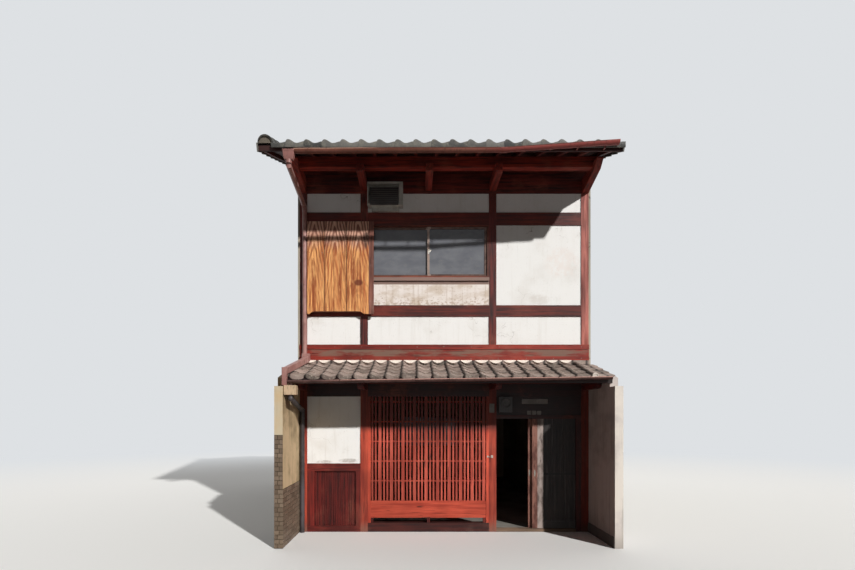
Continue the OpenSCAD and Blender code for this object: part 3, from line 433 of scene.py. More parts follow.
def plaster(name, base=(246, 245, 242), stain=(214, 208, 199), streaks=0.2, marks=()):
    """Trowelled lime plaster with clouds, rain streaks, specks and a few hairline cracks.
    marks are (x, z, width, height, amount, colour) spots on the front."""
    paint = Paint(name, 0.85)
    clouds = paint.noise(paint.place, 1.8, 5.0, 0.55)
    paint.colour = paint.mix(clouds.fade(0.48, 0.8) * 0.5, base, stain)
    paint.lay(paint.noise((11.0, 11.0, 0.7), 1.6, 4.0, 0.6).fade(0.52, 0.75) * streaks, stain)
    paint.lay(paint.noise(paint.place, 62.0, 2.0, 0.5).fade(0.66, 0.74) * 0.22, (150, 138, 120))
    wobble = paint.made("ShaderNodeTexNoise", {"Vector": paint.place, "Scale": 3.2}, 1)
    bent = paint.made("ShaderNodeVectorMath", {0: paint.place, 1: wobble}, operation="ADD")
    crack = paint.cells(bent, 1.15).fall(0.001, 0.0035) * clouds.fade(0.5, 0.6)
    paint.lay(crack * 0.55, (120, 108, 94))
    for x, z, width, height, amount, mark in marks:
        ragged = paint.noise(paint.place, 14.0, 4.0, 0.6).fade(0.3, 0.62)
        paint.lay(paint.spot(x, z, width, height) * ragged * amount, mark)
    grit = paint.noise(paint.place, 170.0, 3.0, 0.6)
    trowel = paint.noise((1.0, 1.0, 2.2), 7.0, 3.0, 0.5)
    paint.relief = grit * 0.35 + trowel - crack
    return paint.finish(0.0014, 0.55)


def clay_tile(name, dark, light, lichen, lichen_amount, roughness, own_tone=0.8, columns=None):
    """Fired clay tiles: each one of its own tone, with fire clouds, dust and lichen.
    columns is (first edge, pitch): grime and painted shade then darken the joints between the columns."""
    paint = Paint(name, roughness)
    fire = paint.noise(paint.place, 5.0, 4.0, 0.6)
    mixed = paint.island() * own_tone + fire * (1.3 - own_tone)
    paint.colour = paint.mix(mixed.fade(0.25, 0.95), dark, light)
    dust = paint.noise(paint.place, 13.0, 5.0, 0.65).fade(0.47, 0.68)
    paint.lay(dust * 0.35, lichen)
    paint.lay(paint.noise(paint.place, 44.0, 3.0, 0.6).fade(0.6, 0.68) * lichen_amount, lichen)
    pits = paint.noise(paint.place, 95.0, 2.0, 0.5).fade(0.63, 0.7)
    paint.lay(pits * 0.6, (34, 32, 30))
    if columns is not None:
        first, pitch = columns
        place = ((paint.x - first) / pitch).fraction()
        # Painted shade of the rolls' steep left sides, with grime, along each joint.
        paint.lay((place.fall(0.03, 0.2) + place.fade(0.9, 1.0)) * 0.85, (30, 26, 24))
    paint.rough = dust * 0.28 + roughness
    paint.relief = fire * 0.6 + dust * 0.4 - pits
    return paint.finish(0.0012, 0.7)


def cedar():
    """Three upright boards with cathedral grain, bleached mauve at the top and orange below."""
    paint = Paint("cedar_boards")
    left, right = span("shutter_boards", 0)
    high = span("shutter_boards", 2)[1]
    first, second = (left + share * (right - left) for share in SHUTTER_JOINTS[1:3])
    in_second, in_third = paint.x.above(first), paint.x.above(second)
    number = in_second + in_third
    local = paint.made("ShaderNodeCombineXYZ", {0: paint.x + number * 3.7, 1: number, 2: paint.z})

    def by_board(a, b, c):
        """A value that changes from board to board."""
        return in_second * (b - a) + a + in_third * (c - b)

    def grain(stretch, scale, detail, roughness):
        return paint.noise(paint.stretched(stretch, local), scale, detail, roughness)
    peak = by_board(high - 0.30, high - 0.05, high - 0.02)
    across = paint.x - by_board(left + 0.11, left + 0.43, KNOT[0])
    bent = across + (grain((1.0, 1.0, 0.6), 3.0, 2.0, 0.5) - 0.5) * 0.09
    radius = paint.math("SQRT", bent * bent + 0.0009) - (peak - paint.z) * 0.16
    radius = radius + paint.spot(*KNOT, 0.16, 0.22) * 0.03
    radius = radius + grain((1.0, 1.0, 0.35), 22.0, 2.0, 0.55) * 0.024
    ring = (radius / 0.041).fraction()
    late = ring.fade(0.34, 0.7) * ring.fall(0.9, 1.0)
    streak = grain((24.0, 24.0, 0.8), 2.2, 4.0, 0.65)
    wide = grain((9.0, 9.0, 0.7), 2.0, 3.0, 0.6)
    fine = grain((60.0, 60.0, 2.0), 3.0, 3.0, 0.6)
    clouds = grain((2.5, 1.0, 1.0), 1.6, 3.0, 0.55)
    pale = grain((5.0, 5.0, 1.2), 2.6, 3.0, 0.6)
    early = paint.mix(streak.fade(0.34, 0.62), (184, 100, 54), (248, 182, 114))
    dark = paint.mix(clouds.fade(0.35, 0.65), (92, 32, 14), (140, 60, 28))
    calm = paint.z.fade(high - 0.85, high - 0.35)
    fresh = paint.mix(late * (calm * 0.5 + 0.24), early, dark)
    fresh = paint.mix(wide.fade(0.47, 0.64) * 0.88, fresh, (140, 66, 32))
    fresh = paint.mix(pale.fade(0.5, 0.7) * 0.6, fresh, (250, 190, 122))
    old = paint.mix(streak.fade(0.3, 0.7), (192, 142, 120), (234, 188, 162))
    old = paint.mix(late * 0.9, old, (120, 70, 56))
    aged = paint.z + (clouds - 0.5) * 0.5 + (streak - 0.5) * 0.3
    paint.colour = paint.mix(aged.fade(high - 0.44, high - 0.18), fresh, old)
    paint.lay(fine.fade(0.56, 0.75) * 0.4, (104, 50, 28))
    paint.lay(paint.spot(*KNOT, 0.085, 0.06) * 0.85, (96, 34, 18))
    paint.lay(paint.spot(*STAIN, 0.07, 0.16) * streak.fade(0.3, 0.55) * 0.9, (48, 28, 22))
    for joint in (first, second):
        paint.lay(abs(paint.x - joint).fall(0.004, 0.022) * 0.55, (86, 46, 28))
    paint.rough = fine * 0.3 + 0.5
    paint.relief = fine * 0.5 - late * 0.6
    return paint.finish(0.002, 0.8)


def old_white_paint():
    """The apron board: white paint that has yellowed and flaked."""
    paint = Paint("old_white_paint", 0.7)
    low = span("apron_board", 2)[0]
    clouds = paint.noise((1.0, 1.0, 1.8), 3.2, 5.0, 0.62)
    paint.colour = paint.mix(clouds.fade(0.42, 0.66), (240, 231, 224), (214, 198, 182))
    flakes = paint.noise((1.0, 1.0, 1.5), 21.0, 5.0, 0.7)
    bare = (flakes + paint.z.fall(low, low + 0.17) * 0.12).fade(0.6, 0.66)
    paint.lay(bare * 0.55, (168, 138, 112))
    paint.lay(paint.noise((20.0, 20.0, 0.9), 1.5, 3.0, 0.6).fade(0.5, 0.7) * 0.35, (176, 150, 124))
    paint.relief = 1.0 - bare
    return paint.finish(0.0012, 0.6)


def coat():
    """The party walls' cement render: day joints, damp clouds, long rain streaks and patches."""
    paint = Paint("coat", 0.9)
    clouds = paint.noise(paint.place, 0.55, 6.0, 0.6)
    paint.colour = paint.mix(clouds.fade(0.36, 0.66), (186, 176, 158), (150, 141, 126))
    paint.lay(paint.noise((1.0, 5.5, 0.28), 1.4, 5.0, 0.65).fade(0.5, 0.72) * 0.55, (110, 103, 94))
    paint.lay((paint.z + clouds * 0.9).fall(0.3, 1.3) * 0.5, (104, 98, 84))
    ragged = paint.noise(paint.place, 3.0, 5.0, 0.65) * 0.6
    patch = paint.cells(paint.stretched((1.0, 0.7, 0.55)), 1.3, "F1") + ragged
    paint.lay(patch.fall(0.43, 0.45) * 0.35, (202, 194, 178))
    joint = abs((paint.z / DAY_HEIGHT).fraction() - 0.5).fall(0.003, 0.006)
    paint.lay(joint * 0.5, (98, 92, 82))
    crack = paint.cells(paint.place, 0.5).fall(0.001, 0.004) * clouds.fade(0.45, 0.55)
    paint.lay(crack * 0.7, (70, 64, 58))
    grit = paint.noise(paint.place, 120.0, 3.0, 0.6)
    wave = paint.noise(paint.place, 5.0, 4.0, 0.5)
    paint.relief = grit * 0.3 + wave * 1.2 - (joint + crack)
    return paint.finish(0.003, 0.6)


def wing_render(name, base, dark, damp, end_colour=None, joint=None):
    """Fine cement render under the pent roof, with damp at its foot. The end towards the street may
    have a colour of its own. joint is the colour of the bed that shows between facing bricks."""
    paint = Paint(name, 0.88)
    clouds = paint.noise(paint.place, 2.4, 5.0, 0.6)
    paint.colour = paint.mix(clouds.fade(0.4, 0.7), base, dark)
    end = paint.y.below(WING_END_Y)
    if end_colour is not None:
        paint.lay(end, paint.mix(clouds.fade(0.45, 0.75), end_colour, base))
    if joint is not None:
        bed = (end * paint.z.below(SLIP_TOP)).most(paint.z.below(SIDE_SLIP_TOP))
        paint.lay(bed, joint)
    paint.lay(paint.noise((8.0, 8.0, 0.5), 1.6, 4.0, 0.6).fade(0.5, 0.72) * 0.4, damp)
    paint.lay((paint.z + clouds * 0.5).fall(0.25, 0.6) * 0.55, damp)
    paint.relief = paint.noise(paint.place, 150.0, 3.0, 0.6) + clouds * 2.0
    return paint.finish(0.0016, 0.6)


def brick_slip():
    """Glazed brown facing bricks, each of its own tone."""
    paint = Paint("brick_slip", 0.5)
    flash = paint.noise((3.0, 3.0, 9.0), 6.0, 3.0, 0.6)
    paint.colour = paint.mix(paint.island() * 0.6 + flash * 0.4, (92, 76, 62), (140, 122, 104))
    paint.lay(paint.noise(paint.place, 160.0, 2.0, 0.5).fade(0.6, 0.68) * 0.5, (58, 44, 36))
    paint.rough = flash * 0.3 + 0.4
    paint.relief = flash
    return paint.finish(0.001, 0.5)


def rain_goods(name, base, faded, grime, fade_at=None, soft=0.004):
    """Plastic rain goods that the sun has bleached and rain has dirtied.
    fade_at is (axis, coordinate, colour): past that coordinate the plastic has another colour."""
    paint = Paint(name, 0.45)
    clouds = paint.noise(paint.place, 2.6, 4.0, 0.6)
    paint.colour = paint.mix(clouds.fade(0.38, 0.64), base, faded)
    if fade_at is not None:
        axis, edge, other = fade_at
        paint.lay(paint.axes[axis].fade(edge - soft, edge + soft), other)
    dirt = paint.noise((5.0, 5.0, 1.3), 6.0, 5.0, 0.7).fade(0.52, 0.7)
    paint.lay(dirt * 0.5, grime)
    paint.rough = dirt * 0.35 + 0.38
    paint.relief = clouds
    return paint.finish(0.001, 0.4)


def sash_metal():
    """The sashes: brown anodised metal, worn bright on the meeting stile."""
    paint = Paint("sash_metal", 0.42, 0.4)
    bloom = paint.noise(paint.place, 9.0, 5.0, 0.65)
    dull = bloom.fade(0.4, 0.68)
    paint.colour = paint.mix(dull, (96, 76, 68), (70, 54, 48))
    middle = sum(span("window_sashes", 0)) / 2
    worn = paint.mix(dull, (148, 130, 120), (112, 94, 86))
    paint.lay(paint.x.band(middle - 0.04, middle + 0.04, 0.002), worn)
    paint.rough = bloom * 0.3 + 0.32
    paint.relief = bloom
    return paint.finish(0.0005, 0.4)


def metal(name, base, dull, roughness, metallic):
    """Sheet metal with a dull bloom and small scratches."""
    paint = Paint(name, roughness, metallic)
    bloom = paint.noise(paint.place, 9.0, 5.0, 0.65)
    paint.colour = paint.mix(bloom.fade(0.4, 0.68), base, dull)
    paint.rough = bloom * 0.3 + (roughness - 0.1)
    paint.relief = paint.noise((40.0, 40.0, 3.0), 4.0, 3.0, 0.6)
    return paint.finish(0.0005, 0.4)


def enamel(name, base, dirt):
    """Painted sheet: chalky enamel with rain dirt."""
    paint = Paint(name, 0.5)
    clouds = paint.noise(paint.place, 6.0, 4.0, 0.6)
    paint.colour = paint.mix(clouds.fade(0.42, 0.7) * 0.45, base, dirt)
    paint.lay(paint.noise((14.0, 14.0, 1.2), 3.0, 4.0, 0.6).fade(0.54, 0.72) * 0.4, dirt)
    paint.rough = clouds * 0.25 + 0.38
    paint.relief = clouds
    return paint.finish(0.0008, 0.4)


def pane(name, cover):
    """Old window glass whose grey-blue colour and clouds are a painted reflection of the sky, with dust and
    faint waves. cover is how much it hides.
    """
    paint = Paint(name, 0.09)
    clouds = paint.noise((1.0, 1.0, 2.0), 2.2, 4.0, 0.55)
    # Painted reflection: grey-blue clouds for the sky in the glass.
    paint.colour = paint.mix(clouds.fade(0.35, 0.68), (108, 110, 117), (126, 128, 133))
    dust = paint.noise(paint.place, 17.0, 5.0, 0.7).fade(0.52, 0.75)
    paint.lay(dust * 0.35, (140, 140, 134))
    paint.shader.inputs["Alpha"].default_value = cover
    paint.shader.inputs["IOR"].default_value = 1.5
    paint.rough = dust * 0.2 + 0.05
    paint.relief = paint.noise((1.0, 1.0, 0.4), 4.0, 1.0, 0.4)
    return paint.finish(0.004, 0.12)


def concrete():
    """The ground floor's trowelled concrete, with grit and clouds."""
    paint = Paint("concrete", 0.85)
    clouds = paint.noise(paint.place, 1.1, 6.0, 0.6)
    paint.colour = paint.mix(clouds.fade(0.35, 0.68), (150, 146, 138), (112, 108, 102))
    grit = paint.noise(paint.place, 140.0, 3.0, 0.6)
    paint.lay(grit.fade(0.58, 0.7) * 0.4, (84, 80, 76))
    paint.relief = grit + clouds
    return paint.finish(0.0015, 0.5)


def planks(name, light, dark, width, along=1, phase=0.0):
    """Planed boards, side by side along an axis, with a dark joint between two of them.
    phase moves the joints."""
    paint = Paint(name)
    stained(paint, light, dark, along, bleached=None, tone=0.0)
    place = (paint.y if along == 0 else paint.x) / width + phase
    number = paint.math("FLOOR", place)
    tone = paint.made("ShaderNodeTexWhiteNoise", {"W": number}, noise_dimensions="1D")
    paint.lay(tone * 0.35, dark)
    joint = abs(place.fraction() - 0.5).fade(0.5 - 0.004 / width, 0.5 - 0.0015 / width)
    paint.lay(joint * 0.9, JOINT_BLACK)
    paint.relief = paint.relief - joint
    return paint.finish(0.002, 0.6)


def door_wood(name, stile_right, sunlit_board_right):
    """A dark door leaf whose leading stile is worn brown and whose first board is pale grey: bleached, and
    painted sunlit where the wing wall's shadow ends.
    """
    paint = Paint(name)
    stained(paint, (40, 32, 30), (22, 17, 16), 2, bleached=(70, 60, 55), bleach=0.35)
    worn = paint.noise((3.0, 3.0, 1.0), 4.0, 4.0, 0.65)
    # Lighter vertical streaks: painted highlights along the boards, and rubbing.
    paint.lay(paint.noise((14.0, 1.0, 0.5), 2.0, 3.0, 0.6).fade(0.52, 0.66) * 0.6, (92, 86, 84))
    paint.lay(paint.z.band(*LEAF_RAIL_Z, 0.003) * 0.8, (14, 11, 10))
    paint.lay((paint.z + worn * 0.06).fall(0.17, 0.23) * 0.5, (104, 100, 98))
    # The first board's pale grey: bleaching, and painted sunlight up to the wing wall's shadow.
    grey = paint.mix(worn.fade(0.36, 0.6), (104, 90, 84), (176, 160, 152))
    brown = paint.mix(worn.fade(0.4, 0.62), (86, 44, 33), (136, 86, 70))
    paint.lay(paint.x.fall(sunlit_board_right - 0.004, sunlit_board_right + 0.004) * 0.9, grey)
    paint.lay(paint.x.fall(stile_right - 0.004, stile_right + 0.004) * 0.9, brown)
    return paint.finish()


# Pan tiles

TILE_THICK = 0.014
TILE_STEP = 0.016
TILE_LAP = 0.045
APRON_GAP = 0.0005
PAN_UP = 0.018


def slope(top_y, top_z, rise, ahead):
    """Places (x, distance down the slope, height over its boards). ahead is -1 towards the street."""
    angle = math.atan(rise)
    cosine, sine = math.cos(angle), math.sin(angle)

    def place(x, down, up):
        return (x, top_y + ahead * (down * cosine + up * sine), top_z - down * sine + up * cosine)
    return place


def pan_section(pitch, crest, flat):
    """The upper outline of a pan tile as (x, height): a steep left side, the crest, and the pan."""
    roll = 0.82 * (crest - PAN_UP)
    pan_x = 0.60 * pitch
    steep = circle(roll, 5, math.radians(172), math.radians(-82))
    points = [(roll + a, crest - roll + b) for a, b in steep]
    for i in range(1, 8):
        fall = 0.5 + 0.5 * math.cos(math.pi * i / 7)
        points.append((roll + (pan_x - roll) * i / 7, PAN_UP + (crest - PAN_UP) * fall))
    for i in range(1, 5):
        climb = 0.5 - 0.5 * math.cos(math.pi * i / 4)
        points.append((pan_x + (pitch + 0.008 - pan_x) * i / 4, PAN_UP + (flat - PAN_UP) * climb))
    return points


upper_section = pan_section(UPPER_PITCH, 0.062, 0.038)
pent_section = pan_section(PENT_PITCH, 0.052, 0.032)
upper_angle = math.atan(UPPER_ROOF_SLOPE)
pent_angle = math.atan(PENT_ROOF_SLOPE)
pent_slope = slope(front_y, pent_top_z, PENT_ROOF_SLOPE, -1)
pent_eave = (front_y - span("pent_tiles", 1)[0]) / math.cos(pent_angle) - 0.02


def roof_side(ahead, rows, face_y, foot_z):
    """One slope of the upper roof: its places, eave, rows of tiles, the aprons' face and foot, and ahead."""
    eave = abs(ridge_y - face_y) / math.cos(upper_angle) - 0.0255
    place = slope(ridge_y, ridge_z, UPPER_ROOF_SLOPE, ahead)
    return place, eave, rows, face_y - ahead * APRON_GAP, foot_z, ahead


front_side = roof_side(-1, 22, front_face_y, span("front_roof_boards", 2)[0] + 0.021)
rear_side = roof_side(1, 19, rear_face_y, ridge_z - (rear_face_y - ridge_y) * UPPER_ROOF_SLOPE - 0.022)


def tile(shape, place, section, x, low, high):
    """One tile: its section at x, from its lower end to its upper one, which lies a step deeper."""
    lift = jitter(0.0012)
    lean = jitter(0.0015)
    width = section[-1][0] - section[0][0]
    rings = []
    for across, up in section:
        up += lift + lean * (across - section[0][0]) / width
        back = max(up - TILE_STEP * (low - high) / (low - high - TILE_LAP), 0.002)
        ends = ((low - 0.002, max(up - TILE_THICK, 0.001)), (low + 0.001, up - TILE_THICK * 0.4),
                (low - 0.004, up), (high, back), (high, max(back - TILE_THICK, 0.0005)))
        rings.append([place(x + across, *end) for end in ends])
    shape.rings(rings)


def tile_rows(shape, place, section, columns, eave, top, rows):
    """Courses of tiles between the eave and the top, each course lapping the one below it."""
    gauge = (eave - top) / rows
    for row in range(rows):
        for x in columns:
            low = eave - row * gauge + jitter(0.0025)
            tile(shape, place, section, x + jitter(0.0008), low, max(low - gauge - TILE_LAP, top - 0.02))


def eave_front(shape, place, section, x, eave, face):
    """The hanging front of an eave tile: a lobe whose foot rounds up at both ends."""
    rings = []
    width = section[-1][0] - section[0][0]
    for across, up in section[1:-1]:
        foot = min(face + 0.05 * abs(2 * (across - section[0][0]) / width - 1) ** 3.5, up - 0.008)
        ends = ((eave - 0.013, up - 0.006), (eave + 0.0015, up - 0.005), (eave + 0.0015, foot),
                (eave - 0.011, foot))
        rings.append([place(x + across, *end) for end in ends])
    shape.rings(rings)


def eave_apron(shape, section, x, width, face_y, foot_z, ahead):
    """The upright front of an upper eave tile: under the tile's wavy edge, with a straight foot."""
    rings = []
    side_gap = 0.0015
    foot = foot_z + jitter(0.0012)
    back, bevel = face_y - ahead * 0.0145, face_y - ahead * 0.003
    edge_z = ridge_z - abs(face_y - ridge_y) * UPPER_ROOF_SLOPE
    for across, up in section:
        at = x + min(max(across, side_gap), width - side_gap)
        top = edge_z + (up - 0.004) / math.cos(upper_angle)
        rings.append([(at, back, top - 0.002), (at, bevel, top), (at, face_y, top - 0.003),
                      (at, face_y, foot + 0.004), (at, bevel, foot), (at, back, foot)])
    shape.rings(rings)


def half_round(shape, place, x, up, low, high, radius, thick, step, sides=14):
    """One half-round cover tile, thicker at its lower end than at the upper one."""
    rings = []
    ends = ((radius - thick, low), (radius, low), (radius, low - 0.03), (radius - step, high),
            (radius - step - thick, high))
    for a, b in circle(1.0, sides, math.radians(-4), math.radians(188)):
        rings.append([place(x + a * reach, down, max(up + b * reach, 0.001)) for reach, down in ends])
    shape.rings(rings)


def roof_field(node, side, tiles):
    """The tiles of one slope of the upper roof, with the aprons along its eave."""
    shape = Shape()
    place, eave, rows, face_y, foot_z, ahead = side
    left, right = span(node, 0)
    columns = [left + i * UPPER_PITCH for i in range(round((right - left) / UPPER_PITCH))]
    tile_rows(shape, place, upper_section, columns, eave, 0.03, rows)
    for x in columns:
        eave_apron(shape, upper_section, x, UPPER_PITCH, face_y, foot_z, ahead)
    shape.make(node + "_courses", tiles, "roof_tile", replaces=(node,))


def pent_field(tiles):
    """The pent roof's tiles: the pan tiles between flat edge tiles, and a roll near the right edge."""
    shape = Shape()
    left, right = span("pent_tiles", 0)
    rows, roll_r, top_gap = 4, 0.046, 0.012
    columns = [pent_first_x + i * PENT_PITCH for i in range(PENT_COLUMNS)]
    tile_rows(shape, pent_slope, pent_section, columns, pent_eave, top_gap, rows)
    end = columns[-1] + PENT_PITCH
    roll_x, flat_x = end + roll_r + 0.004, end + 0.1
    flat = [(0.0, 0.026), (0.03, 0.031), (0.06, 0.028), (0.085, 0.025), (pent_first_x - left - 0.002, 0.028)]
    flat_right = [(0.0, 0.026), (0.08, 0.024), (0.16, 0.024), (0.22, 0.029), (right - end - 0.108, 0.031)]
    gauge = (pent_eave - top_gap) / rows
    for row in range(rows):
        low = pent_eave - row * gauge
        top = max(low - gauge - TILE_LAP, 0.0)
        tile(shape, pent_slope, flat, left, low, top)
        tile(shape, pent_slope, flat_right, flat_x, low, top)
        half_round(shape, pent_slope, roll_x, PAN_UP, low + 0.004, max(low - gauge - 0.02, 0.0), roll_r,
                   0.013, 0.009)
    for x in columns:
        eave_front(shape, pent_slope, pent_section, x, pent_eave, -0.03)
    eave_front(shape, pent_slope, flat, left, pent_eave, -0.022)
    eave_front(shape, pent_slope, flat_right, flat_x, pent_eave, -0.022)
    shape.make("pent_tile_courses", tiles, "pent_tile", replaces=("pent_tiles",))
    cap, radius, proud = Shape(), roll_r * 0.98, 0.009
    steps = ((1.0, -0.012), (1.0, proud * 0.6), (0.93, proud), (0.74, proud), (0.68, proud * 0.45),
             (0.2, proud * 0.6))
    cap.turned([(radius * share, out) for share, out in steps], 18,
               lambda a, b, out: pent_slope(roll_x + a, pent_eave + 0.004 + out, 0.02 + b))
    cap.make("pent_roll_end", lime_mortar, "pent_tile")


def verge(tiles):
    """Edge tiles of both slopes: the big roll and its bed at the left, and the plain right edge."""
    shape, rolls, fill = Shape(), Shape(), Shape()
    left, right = span("verge_tiles", 0)
    field_left, field_right = span("front_roof_tiles", 0)
    roll_r, edge_t, drop = 0.104, 0.018, 0.09
    roll_x = left + edge_t + roll_r
    bed_x = roll_x + roll_r - 0.024
    rim_x = field_right + 0.001
    bed = [(0.0, 0.03), (0.03, 0.022), (0.08, 0.018), (0.14, 0.024), (field_left - bed_x - 0.001, 0.034)]
    rim = [(0.0, 0.037), (0.05, 0.033), (0.1, 0.034), (right - rim_x, 0.038)]
    mound = [(left + 0.02, 0.002), (left + 0.02, 0.05), (left + 0.07, 0.09), (bed_x + 0.02, 0.09),
             (bed_x + 0.09, 0.045), (bed_x + 0.09, 0.002)]
    inner = [(roll_x + a, max(PAN_UP + b, 0.002)) for a, b in circle(roll_r - 0.021, 20, 0.0, math.pi)]
    for place, eave, rows, face_y, foot_z, ahead in (front_side, rear_side):
        gauge = (eave - 0.03) / rows
        for row in range(rows):
            low = eave - row * gauge
            high = max(low - gauge - TILE_LAP, 0.01)
            tile(shape, place, bed, bed_x, low, high)
            tile(shape, place, rim, rim_x, low, high)
            if high > 0.2:
                roll_end = low - gauge - 0.03
                half_round(rolls, place, roll_x, PAN_UP, low + 0.001, roll_end, roll_r, 0.02, 0.012, 20)
            for x in (left, right - edge_t):
                verge_drop(shape, place, x, edge_t, low, low - gauge, drop)
        for section, x in ((bed, bed_x), (rim, rim_x)):
            eave_apron(shape, section, x, section[-1][0] + 0.0015, face_y, foot_z, ahead)

        def stand(a, b, end, place=place):
            return place(a, end, b)
        fill.extrude(mound, (0.04, roll_end + 0.03), stand)
        fill.extrude(inner, (eave - 0.1, eave - 0.012), stand)
    shape.make("verge_tile_courses", tiles, "roof_tile", replaces=("verge_tiles",))
    # A darker copy of the roof tile: painted shade on the big verge roll.
    painted_shade_roll_tile = clay_tile("painted_shade_roll_tile", (44, 43, 42), (92, 89, 84), (140, 134, 120), 0.35, 0.5)
    rolls.make("verge_roll_tiles", painted_shade_roll_tile, "roof_tile")
    fill.make("verge_mortar", old_mortar, "roof_tile")


def verge_drop(shape, place, x, thick, low, high, drop):
    """One drop tile that hangs over the verge, a little lower at its lower end."""
    rings = []
    for down, deep in ((low + 0.004, drop), (high, drop - 0.016)):
        rings.append([place(x, down, 0.02), place(x + thick, down, 0.02), place(x + thick, down, -deep),
                      place(x, down, -deep)])
    shape.rings(rings)


def on_ridge(a, b, x):
    """A point of the ridge from its distance to the ridge line, its height and its x."""
    return (x, ridge_y + a, b)


def ridge(tiles):
    """Mortar bedding, three flat courses with broken joints, a round cap and an end tile each side."""
    shape, bedding = Shape(), Shape()
    left, right = span("ridge_tiles", 0)
    half, cap_r, end_r, end_t, courses = 0.14, 0.072, 0.098, 0.06, 3
    top = span("ridge_tiles", 2)[1] - end_r
    crown = ridge_z + 0.067
    course_h = (top - crown - 0.004) / courses
    foot = crown - UPPER_ROOF_SLOPE * half - 0.01
    profile = [(-half + 0.012, foot), (half - 0.012, foot), (half - 0.02, top - 0.004),
               (-half + 0.02, top - 0.004)]
    bedding.extrude(profile, (left + end_t, right - end_t), on_ridge)
    inner_left, inner_right = left + end_t - 0.004, right - end_t + 0.004
    length = 0.272
    for course in range(courses):
        reach = half - 0.012 * course
        start = inner_left - (length / 2 if course % 2 else 0)
        while start < inner_right:
            x0, x1 = max(start, inner_left), min(start + length - 0.003, inner_right)
            if x1 - x0 > 0.02:
                z = crown + 0.012 + course * course_h
                low, high = z + jitter(0.0015), z + course_h * 0.72
                section = [(-reach, low), (reach, low), (reach, low + 0.017), (reach * 0.6, high),
                           (-reach * 0.6, high), (-reach, low + 0.017)]
                shape.extrude(section, (x0, x1), on_ridge)
            start += length
    count = math.ceil((inner_right - inner_left) / 0.29)
    step = (inner_right - inner_left) / count
    for i in range(count):
        x = inner_left + i * step
        steps = ((cap_r, x), (cap_r, x + 0.026), (cap_r - 0.009, x + 0.032),
                 (cap_r - 0.009, x + step - 0.001))
        shape.turned(steps, 22, lambda a, b, at: on_ridge(a, top - 0.012 + b, at))
    for x, out in ((left, -1), (right, 1)):
        ridge_end(shape, x, out, top, end_r, end_t, half)
    shape.make("ridge_courses", tiles, "roof_tile", replaces=("ridge_tiles",))
    bedding.make("ridge_bedding", lime_mortar, "roof_tile")


def ridge_end(shape, x, out, top, radius, thick, half):
    """An end tile: a round head with a sunk face, over shoulders that flare out at the foot."""
    def place(a, b, depth):
        return on_ridge(a, top + b, x - out * depth)
    steps = ((1.0, thick), (1.0, 0.008), (0.94, 0.0), (0.8, 0.0), (0.74, 0.011), (0.34, 0.011), (0.3, 0.003),
             (0.12, 0.0))
    shape.turned([(radius * share, depth) for share, depth in steps], 28, place)
    foot = -(top - ridge_z - 0.03)
    side = [(radius * 0.86, -radius * 0.5), (radius * 0.98, foot * 0.55), (half * 0.96, foot * 0.8),
            (half * 1.05, foot)]
    shape.extrude(side + [(-a, b) for a, b in reversed(side)], (0.012, thick), place)


# Smaller pieces

def mortar_crescents():
    """White mortar that fills the pans of the pent tiles under the skirt boards."""
    shape = Shape()
    for column in range(PENT_COLUMNS):
        left = pent_first_x + column * PENT_PITCH + 0.038 + jitter(0.008)
        width = 0.186 + jitter(0.014)
        depth = 0.02 + jitter(0.006)
        rings = []
        for i in range(11):
            bow = math.sin(math.pi * min(max(i / 10, 0.02), 0.98))
            x, lip = left + width * i / 10, 0.03 * bow
            low = skirt_foot - depth * bow ** 0.42
            rings.append([(x, front_y - 0.034, skirt_foot), (x, front_y - 0.038, low),
                          (x, front_y - 0.04 - lip, low - lip * 0.9),
                          (x, front_y - 0.001, low - lip * 0.9 - 0.01), (x, front_y - 0.001, skirt_foot)])
        shape.rings(rings)
    shape.make("pent_mortar", lime_mortar, "white_plaster")


def pent_head_tiles(tiles):
    """Flat tiles that close the pent roof against the skirt boards, behind the mortar."""
    shape = Shape()
    back, face, low = front_y - 0.001, front_y - 0.033, pent_top_z + 0.004
    section = [(back, low), (face, low), (face, skirt_foot - 0.004), (face + 0.004, skirt_foot - 0.0005),
               (back, skirt_foot - 0.0005)]
    end = span("skirt_boards", 0)[1]
    x = pent_first_x - 0.02
    while x < end - 0.03:
        shape.extrude(section, (x, min(x + PENT_PITCH - 0.003, end - 0.002)))
        x += PENT_PITCH
    shape.make("pent_head_tiles", tiles, "pent_tile")


def wing_slips():
    """Facing bricks in thin courses on the left wing wall's end face and on its inner side's foot."""
    shape = Shape()
    low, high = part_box("left_wing_wall")
    course, height, length, thick, joint = 0.062, 0.054, 0.227, 0.008, 0.008
    inner_rows = round(SIDE_SLIP_TOP / course)
    courses = [(row, (0.006 + row * course, 0.006 + row * course + height))
               for row in range(round(SLIP_TOP / course))]
    for row, z in courses:
        reach = high.x + (thick if row < inner_rows else -0.001)
        cut = low.x + (0.07 if row % 2 else 0.045)
        for x in ((low.x + 0.001, cut - joint / 2), (cut + joint / 2, reach)):
            shape.block(x, (low.y - thick + jitter(0.0008), low.y + 0.001), z)
    for row, z in courses[:inner_rows]:
        y = low.y + 0.002 - (length / 2 if row % 2 else 0)
        while y < high.y:
            y0, y1 = max(y, low.y + 0.001), min(y + length, high.y - 0.001)
            if y1 - y0 > 0.02:
                shape.block((high.x - 0.001, high.x + thick + jitter(0.0008)), (y0, y1 - joint), z)
            y += length + joint
    shape.make("wing_facing_bricks", brick_slip(), "wing_plaster")


